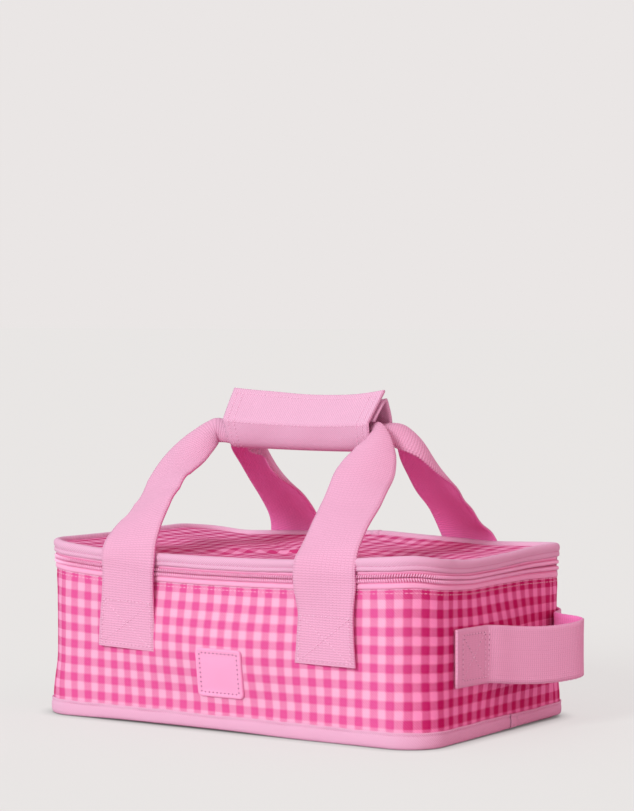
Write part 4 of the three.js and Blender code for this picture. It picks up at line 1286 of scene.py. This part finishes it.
def lid_height(x, y):
    """Height of the lid's gingham over its middle: sunk, with soft quilted puffs and pulls."""
    across = np.clip(np.abs(x) / 128.0, 0.0, 1.0)
    deep = np.clip(np.abs(y) / 80.0, 0.0, 1.0)
    edge = np.maximum(across ** 4, deep ** 3)
    puff = 1.1 * np.sin(x / 15.0 + 0.8 * np.sin(y / 19.0)) * np.cos(y / 21.0 + 0.5)
    pull = 0.7 * np.sin((x * 0.55 + y) / 8.5 + 1.3 * np.sin(x / 31.0))
    crown = 1.6 * np.exp(-((x + 18.0) / 62.0) ** 2 - ((y - 12.0) / 34.0) ** 2)
    return 97.6 + 3.0 * edge + (puff + pull) * (1 - 0.8 * edge) + crown


class LUNCHBAG_OT_lid(Operator):
    """Makes the lid's soft gingham top and its lining"""

    bl_idname = "lunchbag.lid"
    bl_label = "Lid"

    def execute(self, context):
        finish = materials(context)
        edge = outline(RIM_TOP, -2.6)
        rings = []
        for share in np.concatenate((np.linspace(0.06, 0.94, 34), [0.97, 1.0])):
            line = shrunk(edge, share)
            middle = lid_height(line[:, 0], line[:, 1]) + 0.5 * RIM_LIFT
            meet = smooth((share - 0.84) / 0.16)
            line[:, 2] = middle * (1 - meet) + (edge[:, 2] - 2.4) * meet
            rings.append(line)
        for offset, z in ((-2.3, 100.2), (-2.4, 99.2), (-3.2, 98.3)):
            rings.append(outline(z, offset))
        under = outline(97.4, -3.2)
        for share in (0.9, 0.7, 0.5, 0.3, 0.12):
            line = shrunk(under, share)
            line[:, 2] = 94.4 - 1.6 * (1 - share)
            rings.append(line)
        cover = disc("lid_cover", rings, (0, 0, lid_height(0.0, 0.0) - 1.0), (0, 0, 92.8),
                     [finish["gingham_lid"]])
        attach(cover, "lid")
        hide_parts("lid_panel", "lid_foam")

        rings = []
        below = outline(95.6, -6.6)
        for share in (0.12, 0.3, 0.5, 0.7, 0.86, 0.95):
            line = shrunk(below, share)
            line[:, 2] = 92.2 + 1.2 * share
            rings.append(line)
        for offset, z in ((-6.6, 95.6), (-6.2, 95.0), (-6.2, 93.2), (-6.8, 92.2), (-8.0, 91.8)):
            rings.append(outline(z, offset))
        for share in (0.92, 0.8, 0.65, 0.5, 0.35, 0.2, 0.1):
            line = shrunk(below, share)
            quilt = 0.7 * np.cos(line[:, 0] / 13.0) * np.cos(line[:, 1] / 12.0)
            line[:, 2] = 89.6 + 2.0 * share ** 3 + quilt
            rings.append(line)
        lining = disc("lid_lining_pad", rings, (0, 0, 92.2), (0, 0, 89.4), [finish["lining"]])
        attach(lining, "lid")
        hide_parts("lid_lining")
        return {"FINISHED"}


class LUNCHBAG_OT_handles(Operator):
    """Makes the two handles, each one strip of webbing from sewn end to sewn end"""

    bl_idname = "lunchbag.handles"
    bl_label = "Handles"

    def execute(self, context):
        finish = materials(context)
        faces = [finish["webbing"], finish["webbing_back"]]
        for name, mirror, nodes, body, near in (
            ("front_handle_webbing", 1.0,
             ("front_webbing", "sewn_end_front_left", "sewn_end_front_right"), "front_handle", -1),
            ("back_handle_webbing", -1.0,
             ("back_webbing", "sewn_end_back_left", "sewn_end_back_right"), "back_handle", 1),
        ):
            strip = webbing_strip(name, HANDLES[name], WEBBING_WIDTH, handle_guide, HANDLE_BACK,
                                  faces, mirror)
            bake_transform(strip)
            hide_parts(*nodes)
        return {"FINISHED"}


# Cross-sections of the grip, outer side, as y and z.
FLAP_PATH = [
    (-4.6, 157.8), (-7.8, 158.5), (-10.6, 160.8), (-12.6, 164.6), (-14.0, 169.0), (-15.0, 173.0),
    (-15.3, 174.6), (-14.9, 175.8), (-12.2, 179.2), (-8.3, 184.0), (-4.3, 188.9), (-0.4, 193.7),
]
WRAP_PATH = [
    (-1.4, 159.2), (2.0, 158.8), (5.6, 159.8), (9.0, 163.2), (11.0, 168.6), (11.4, 174.0),
    (9.8, 179.4), (7.2, 184.4), (5.0, 188.0), (3.4, 188.8), (0.6, 187.4), (-2.4, 184.6),
    (-5.8, 180.7), (-9.0, 176.8),
]
CLOTH_PLY = 2.0
TAPE_PLY = 0.7
TAPE_HALF = 47.0
FLAP_HALF = 50.0
FLAP_LEAN = 3.6
WRAP_LEAN = 1.0


def fine_path(path, step=0.9):
    """The path's points at even steps, its outward directions and distances along it."""
    points, along = spline([(0.0, y, z) for y, z in path], int(path_length(path) / step))
    tangent = np.gradient(points[:, 1:], axis=0)
    tangent /= np.linalg.norm(tangent, axis=1)[:, None]
    normal = np.column_stack((-tangent[:, 1], tangent[:, 0]))
    middle = np.array((0.0, 173.0))
    sign = np.sign(np.sum(normal * (points[:, 1:] - middle)))
    return points[:, 1:], normal * sign, along


def grip_height(z):
    """0 at the grip's lower edge, 1 at its top."""
    return np.clip((z - 158.0) / 35.0, 0.0, 1.0)


def grip_shape(points, x):
    """Bends the straight grip: its middle hangs and its ends flare."""
    share = x / GRIP_HALF
    y, z = points[..., 0], points[..., 1]
    height = grip_height(z)
    hang = (2.6 * height + 0.6) * (1 - share ** 2) * (1 + 0.4 * share)
    waver = 0.35 * np.sin(x / 14.0 + z / 9.0) + 0.25 * np.sin(x / 6.3 - z / 5.0)
    pinch = 1.0 - 0.05 * (1 - share ** 2)
    return np.stack((y * pinch + waver * 0.6, z - hang + waver * 0.3 * height), axis=-1)


def grip_cloth(name, path, out, thickness, material, half=GRIP_HALF, lean=0.0):
    """A shaped sheet along the grip: out moves it off the path, thickness is measured inwards."""
    points, normal, along = fine_path(path)
    outer = points + normal * out
    inner = points + normal * (out - thickness)
    first = (outer[0] + inner[0]) / 2 - (outer[1] - outer[0]) * 0.5
    last = (outer[-1] + inner[-1]) / 2 + (outer[-1] - outer[-2]) * 0.5
    loop = np.vstack((outer, [last], inner[::-1], [first]))
    v = np.concatenate((along, [along[-1] + 1], along[::-1], [along[0] - 1, along[0]]))
    share = np.linspace(-1.0, 1.0, 73)
    rings = []
    for k, place in enumerate(loop):
        x = share * (half + lean * grip_height(place[1]))
        bent = grip_shape(np.broadcast_to(place, (len(x), 2)), x)
        rings.append(np.column_stack((x + GRIP_MIDDLE, bent)))
    return sweep(name, rings, np.append(share * half, half), v, [material], False)


def grip_seam(path, lift, corners, half=GRIP_HALF, lean=0.0):
    """A seam on the grip's outer face: corners are (x, distance along the path)."""
    points, normal, along = fine_path(path)
    line, outs = [], []
    for (x0, a0), (x1, a1) in zip(corners[:-1], corners[1:]):
        count = max(int(math.hypot(x1 - x0, a1 - a0) / SEAM_STEP), 2)
        for t in np.arange(count + 1) / count:
            at = a0 + (a1 - a0) * t
            x = x0 + (x1 - x0) * t
            place = np.array([np.interp(at, along, points[:, k]) for k in range(2)])
            facing = np.array([np.interp(at, along, normal[:, k]) for k in range(2)])
            x *= (half + lean * grip_height(place[1])) / half
            bent = grip_shape(place + facing * lift, x)
            line.append((x + GRIP_MIDDLE, bent[0], bent[1]))
            outs.append((0.0, facing[0], facing[1]))
    return line, outs


class LUNCHBAG_OT_grip(Operator):
    """Makes the grip that wraps both handles, its closing flap and their closure tapes"""

    bl_idname = "lunchbag.grip"
    bl_label = "Grip"

    def execute(self, context):
        finish = materials(context)
        flap = grip_cloth("grip_flap_cloth", FLAP_PATH, 0.0, CLOTH_PLY, finish["grip_twill"],
                          FLAP_HALF, FLAP_LEAN)
        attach(flap, "grip_flap")
        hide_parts("grip_flap")
        wrap = grip_cloth("grip_wrap_cloth", WRAP_PATH, 0.0, CLOTH_PLY, finish["grip_twill"],
                          lean=WRAP_LEAN)
        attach(wrap, "back_handle")
        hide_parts("grip_wrap")
        hook = grip_cloth("flap_hook_pile", FLAP_PATH[8:11] + [(-2.6, 191.0)], -CLOTH_PLY - 0.1,
                          TAPE_PLY, finish["closure_tape"], TAPE_HALF)
        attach(hook, "grip_flap")
        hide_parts("flap_hook_tape")
        pile = grip_cloth("wrap_loop_pile", WRAP_PATH[10:14], TAPE_PLY, TAPE_PLY,
                          finish["closure_tape"], TAPE_HALF)
        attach(pile, "back_handle")
        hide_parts("wrap_loop_tape")
        return {"FINISHED"}


class LUNCHBAG_OT_loop(Operator):
    """Makes the webbing loop on the bag's end, sewn in front and round the back corner"""

    bl_idname = "lunchbag.loop"
    bl_label = "Side Loop"

    def execute(self, context):
        finish = materials(context)
        strip = webbing_strip("side_loop_webbing", loop_rows(), LOOP_WIDTH, upright_guide,
                              (0.0, 0.0, 0.0), [finish["webbing"], finish["webbing_back"]],
                              step=0.6)
        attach(strip, "body")
        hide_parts("side_loop")
        return {"FINISHED"}


PATCH_WIDTH = 32.0
PATCH_HEIGHT = 29.6
PATCH_X = 2.4
PATCH_BOTTOM = 20.0
PATCH_RADIUS = 3.0


def patch_outline(inset, count=18):
    """A rounded rectangle seen from the front, as x and z."""
    radius = max(PATCH_RADIUS - inset, 0.4)
    points = []
    for sx, sz, start in ((1, 1, 0), (-1, 1, 1), (-1, -1, 2), (1, -1, 3)):
        middle_x = PATCH_X + sx * (PATCH_WIDTH / 2 - inset - radius)
        middle_z = PATCH_BOTTOM + PATCH_HEIGHT / 2 + sz * (PATCH_HEIGHT / 2 - inset - radius)
        for k in range(count):
            angle = (start + k / (count - 1)) * math.pi / 2
            points.append((middle_x + radius * math.cos(angle),
                           middle_z + radius * math.sin(angle)))
    return points


def on_front(seed, x, z, off):
    """A point of the patch, which is sewn on a little askew."""
    x -= 0.045 * (PATCH_BOTTOM + PATCH_HEIGHT - z)
    point, normal = wall_point(seed, along_at(x, -BAG_DEPTH / 2), z, 0.0)
    return point + normal * off


class LUNCHBAG_OT_patch(Operator):
    """Makes the plain moulded rubber patch with its raised rim"""

    bl_idname = "lunchbag.patch"
    bl_label = "Patch"

    def execute(self, context):
        seed = context.scene.lunch_bag_make.seed
        finish = materials(context)
        steps = [(0.25, 0.15), (0.0, 0.45), (0.0, 1.2), (0.25, 1.65), (0.7, 1.85), (1.5, 1.85),
                 (2.0, 1.6), (2.5, 1.55), (3.0, 1.35), (5.0, 1.3), (8.0, 1.35), (11.0, 1.4)]
        rings = []
        for inset, off in reversed(steps):
            rings.append([on_front(seed, x, z, off) for x, z in patch_outline(inset)])
        for inset in (3.0, 8.0, 11.0):
            rings.append([on_front(seed, x, z, 0.12) for x, z in patch_outline(inset)])
        middle_z = PATCH_BOTTOM + PATCH_HEIGHT / 2
        patch = disc("rubber_patch", rings, on_front(seed, PATCH_X, middle_z, 1.4),
                     on_front(seed, PATCH_X, middle_z, 0.12), [finish["patch_rubber"]])
        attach(patch, "body")
        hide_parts("front_patch")
        return {"FINISHED"}


def crossed_box(a0, a1, inset):
    """Corners of the usual box seam with its cross, as (distance along, share across)."""
    edge = 0.5 - inset
    return [(a0, -edge), (a1, -edge), (a1, edge), (a0, edge), (a0, -edge), (a1, edge), (a1, -edge),
            (a0, edge)]


class LUNCHBAG_OT_stitching(Operator):
    """Sews every visible seam: one small stitch body repeated along its line"""

    bl_idname = "lunchbag.stitching"
    bl_label = "Stitching"

    def execute(self, context):
        make = context.scene.lunch_bag_make
        finish = materials(context)
        thread = make.thread / MM
        pitch = make.stitch
        size = (pitch / MM * 0.72, thread, thread * 0.9)
        seed = make.seed

        lines, outs = gathered(wall_seam(seed, 0.0, GIRTH, z, 0.12) for z in (84.3, 86.3))
        self.sew("wall_stitches", lines, outs, pitch, size, finish["thread"], "body")

        # The foot's and the lid's stitch rows take the darker thread: real stitches with the
        # painted shade of their groove.
        line, out = wall_seam(seed, 0.0, GIRTH, 7.7, 0.62)
        self.sew("foot_stitches", [line], [out], pitch, size, finish["shaded_seam_thread"], "body")

        ring = outline(99.3, 1.28) + OUTWARD * lid_edge_lean(seed, 99.3)[:, None]
        ring[:, 2] += lid_edge_rise(seed, 99.3)
        ring = np.vstack((ring, ring[:1]))
        out = np.vstack((OUTWARD, OUTWARD[:1]))
        self.sew("lid_stitches", [ring], [out], pitch, size, finish["shaded_seam_thread"], "lid")

        lines, outs = [], []
        inset = 2.2 / WEBBING_WIDTH
        for name, mirror in (("front_handle_webbing", 1.0), ("back_handle_webbing", -1.0)):
            rows = HANDLES[name]
            length = path_length(rows)
            for a0, a1 in ((2.0, 27.0), (length - 27.0, length - 2.0)):
                lines.append(webbing_seam(rows, WEBBING_WIDTH, handle_guide, HANDLE_BACK,
                                          crossed_box(a0, a1, inset), SEAM_LIFT, mirror))
                outs.append((0.0, -mirror, 0.0))
        rows = loop_rows()
        inset = 3.2 / LOOP_WIDTH
        for corners in (crossed_box(5.0, 27.0, inset), [(30.0, inset - 0.5), (30.0, 0.5 - inset)]):
            lines.append(webbing_seam(rows, LOOP_WIDTH, upright_guide, (0.0, 0.0, 0.0), corners,
                                      SEAM_LIFT))
            outs.append((1.0, 0.0, 0.0))
        self.sew("webbing_stitches", lines, outs, pitch, size, finish["thread"], "body")
        # Painted shade: dark dots between the webbing's stitches stand for the shade in the needle
        # holes, darker still on the side loop.
        half = int(round(pitch / MM / 2 / SEAM_STEP))
        for name, part, look in (("needle_holes", slice(0, 4), "shaded_seam_thread"),
                                 ("loop_needle_holes", slice(4, 6), "painted_hole_shade")):
            self.sew(name, [line[half:] for line in lines[part]], outs[part], pitch,
                     (0.8, 0.55, 0.25), finish[look], "body")

        far = path_length(FLAP_PATH) - 3.6
        crease = 20.9
        lines, outs = gathered(
            grip_seam(FLAP_PATH, SEAM_LIFT, corners, FLAP_HALF, FLAP_LEAN) for corners in (
                [(-46.6, 2.0), (-46.6, far), (46.6, far), (46.6, 2.0)],
                [(-42.4, 2.0), (-42.4, far)], [(42.4, 2.0), (42.4, far)],
                [(-46.6, crease), (46.6, crease)],
            ))
        self.sew("flap_stitches", lines, outs, pitch * 0.9, size, finish["thread"], "grip_flap")
        far = path_length(WRAP_PATH) - 3.0
        lines, outs = gathered(
            grip_seam(WRAP_PATH, SEAM_LIFT, [(x, 2.0), (x, far)], lean=WRAP_LEAN)
            for x in (-48.5, -44.0, 44.0, 48.5))
        self.sew("wrap_stitches", lines, outs, pitch * 0.9, size, finish["thread"], "back_handle")

        # Painted shade: dark dots for the shade inside the patch's stitch holes.
        holes = patch_outline(2.8)
        holes.append(holes[0])
        line = [on_front(seed, x, z, 1.5) for x, z in holes]
        self.sew("patch_holes", [line], [(0.0, -1.0, 0.0)], 2.7 * MM, (0.95, 0.9, 0.5),
                 finish["painted_hole_shade"], "body")
        return {"FINISHED"}

    @staticmethod
    def sew(name, lines, outs, pitch, size, thread, body):
        seam = repeat_along(name, lines, outs, pitch, size, thread)
        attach(seam, body)


# Stage

# The backdrop's colour, the sky's brightness on the left and the right, and the pink light that
# the right side and the floor give back.
BACKDROP = (0.823, 0.791, 0.784)
SKY_LEFT = 0.78
SKY_RIGHT = 0.52
FILL = (1.10, 0.42, 0.57)
FLOOR_FILL = (0.13, -0.015, 0.03)
SUN = 1.88
SUN_FROM = Vector((-0.06, -0.88, 0.43))

# How much of the floor's shade shows, and how far from a piece the floor darkens.
FLOOR_SHADE = 0.25
FLOOR_TOUCH = 14.0
FLOOR_HALF = 30000
FLOOR_LEVEL = -0.05

CAMERA_PLACE = (0.8985, -1.3383, 0.2397)
CAMERA_AIM = Vector((-0.5538, 0.8326, 0.0))
CAMERA_LENS = 119.73
CAMERA_SHIFT = -0.1154


def seen_directly(g):
    """1 for rays from the camera, also by way of a mirror-like or clear surface."""
    path = g.node("ShaderNodeLightPath")
    seen = g.math("MAXIMUM", path.outputs["Is Camera Ray"], path.outputs["Is Glossy Ray"])
    return g.math("MAXIMUM", seen, path.outputs["Is Transmission Ray"])


class LUNCHBAG_OT_stage(Operator):
    """Sets the pale floor, the soft light and the camera"""

    bl_idname = "lunchbag.stage"
    bl_label = "Stage"

    def execute(self, context):
        scene = context.scene
        scene.view_settings.view_transform = "Standard"
        self.floor()
        self.sky(scene)
        light = bpy.data.lights.new("softbox", "SUN")
        light.energy = SUN
        light.angle = math.radians(20)
        lamp = bpy.data.objects.new("softbox", light)
        lamp.rotation_euler = SUN_FROM.to_track_quat("Z", "Y").to_euler()
        context.collection.objects.link(lamp)

        camera = bpy.data.cameras.new("camera")
        camera.lens = CAMERA_LENS
        camera.sensor_width = 36.0
        camera.shift_y = CAMERA_SHIFT
        camera.clip_end = 200.0
        holder = bpy.data.objects.new("camera", camera)
        holder.location = CAMERA_PLACE
        holder.rotation_euler = CAMERA_AIM.to_track_quat("-Z", "Y").to_euler()
        context.collection.objects.link(holder)
        scene.camera = holder
        return {"FINISHED"}

    @staticmethod
    def floor():
        uv = [(0, 0), (1, 0), (1, 1), (0, 1)]
        points = [(FLOOR_HALF * (2 * x - 1), FLOOR_HALF * (2 * y - 1), FLOOR_LEVEL) for x, y in uv]
        material, g = new_material("floor_paper")
        seen = seen_directly(g)
        lit = (SKY_LEFT + SKY_RIGHT) / 2 + SUN * SUN_FROM.normalized().z / math.pi
        share = tuple(
            channel * FLOOR_SHADE / (lit + fill) for channel, fill in zip(BACKDROP, FLOOR_FILL)
        )
        paper = g.mix(seen, (0.70, 0.61, 0.63), share)
        diffuse = g.node("ShaderNodeBsdfDiffuse", {0: paper})
        near = g.node("ShaderNodeAmbientOcclusion", {"Distance": FLOOR_TOUCH * MM}, samples=16)
        open_share = g.remap(near.outputs["AO"], 0.0, 0.9, 0.12, 1.0, "LINEAR")
        even = g.node("ShaderNodeEmission", {
            0: (*BACKDROP, 1.0),
            1: g.math("MULTIPLY", g.math("MULTIPLY", seen, open_share), 1.0 - FLOOR_SHADE)})
        both = g.node("ShaderNodeAddShader", {0: diffuse.outputs[0], 1: even.outputs[0]})
        g.node("ShaderNodeOutputMaterial", {0: both.outputs[0]})
        floor = make_mesh("floor", points, [[0, 1, 2, 3]], uv, [material])

    @staticmethod
    def sky(scene):
        world = scene.world or bpy.data.worlds.new("studio")
        scene.world = world
        world.use_nodes = True
        g = Graph(world.node_tree)
        shown = g.node("ShaderNodeBackground", {0: (*BACKDROP, 1.0), 1: 1.0})
        where = g.node("ShaderNodeTexCoord").outputs["Generated"]
        side = g.node("ShaderNodeSeparateXYZ", {0: where}).outputs[0]
        level = g.remap(side, -1.0, 1.0, SKY_LEFT, SKY_RIGHT, "LINEAR")
        plain = g.node("ShaderNodeCombineColor", {0: level, 1: level, 2: level}).outputs[0]
        colour_from = g.mix(g.remap(side, 0.25, 0.95), plain, FILL)
        lighting = g.node("ShaderNodeBackground", {0: colour_from, 1: 1.0})
        chosen = g.node("ShaderNodeMixShader", {0: seen_directly(g), 1: lighting.outputs[0],
                                                2: shown.outputs[0]})
        g.node("ShaderNodeOutputWorld", {0: chosen.outputs[0]})


# The add-on

PIECES = (
    LUNCHBAG_OT_stage, LUNCHBAG_OT_walls, LUNCHBAG_OT_bindings, LUNCHBAG_OT_zip, LUNCHBAG_OT_lid,
    LUNCHBAG_OT_handles, LUNCHBAG_OT_grip, LUNCHBAG_OT_loop, LUNCHBAG_OT_patch,
    LUNCHBAG_OT_stitching,
)


class LUNCHBAG_PT_panel(Panel):
    """Lists the bag's settings and pieces in the sidebar"""

    bl_idname = "LUNCHBAG_PT_panel"
    bl_label = "Lunch Bag"
    bl_space_type = "VIEW_3D"
    bl_region_type = "UI"
    bl_category = "Lunch Bag"

    def draw(self, context):
        layout = self.layout
        for group in (context.scene.lunch_bag_cloth, context.scene.lunch_bag_make):
            box = layout.box()
            for name in group.__annotations__:
                box.prop(group, name)
        for piece in PIECES:
            layout.operator(piece.bl_idname)


CLASSES = (LunchBagCloth, LunchBagMake, *PIECES, LUNCHBAG_PT_panel)


def register():
    for item in CLASSES:
        bpy.utils.register_class(item)
    bpy.types.Scene.lunch_bag_cloth = PointerProperty(type=LunchBagCloth)
    bpy.types.Scene.lunch_bag_make = PointerProperty(type=LunchBagMake)


def unregister():
    del bpy.types.Scene.lunch_bag_make
    del bpy.types.Scene.lunch_bag_cloth
    for item in reversed(CLASSES):
        bpy.utils.unregister_class(item)


def main():
    register()
    for piece in PIECES:
        group, name = piece.bl_idname.split(".")
        getattr(getattr(bpy.ops, group), name)()


if __name__ == "__main__":
    main()
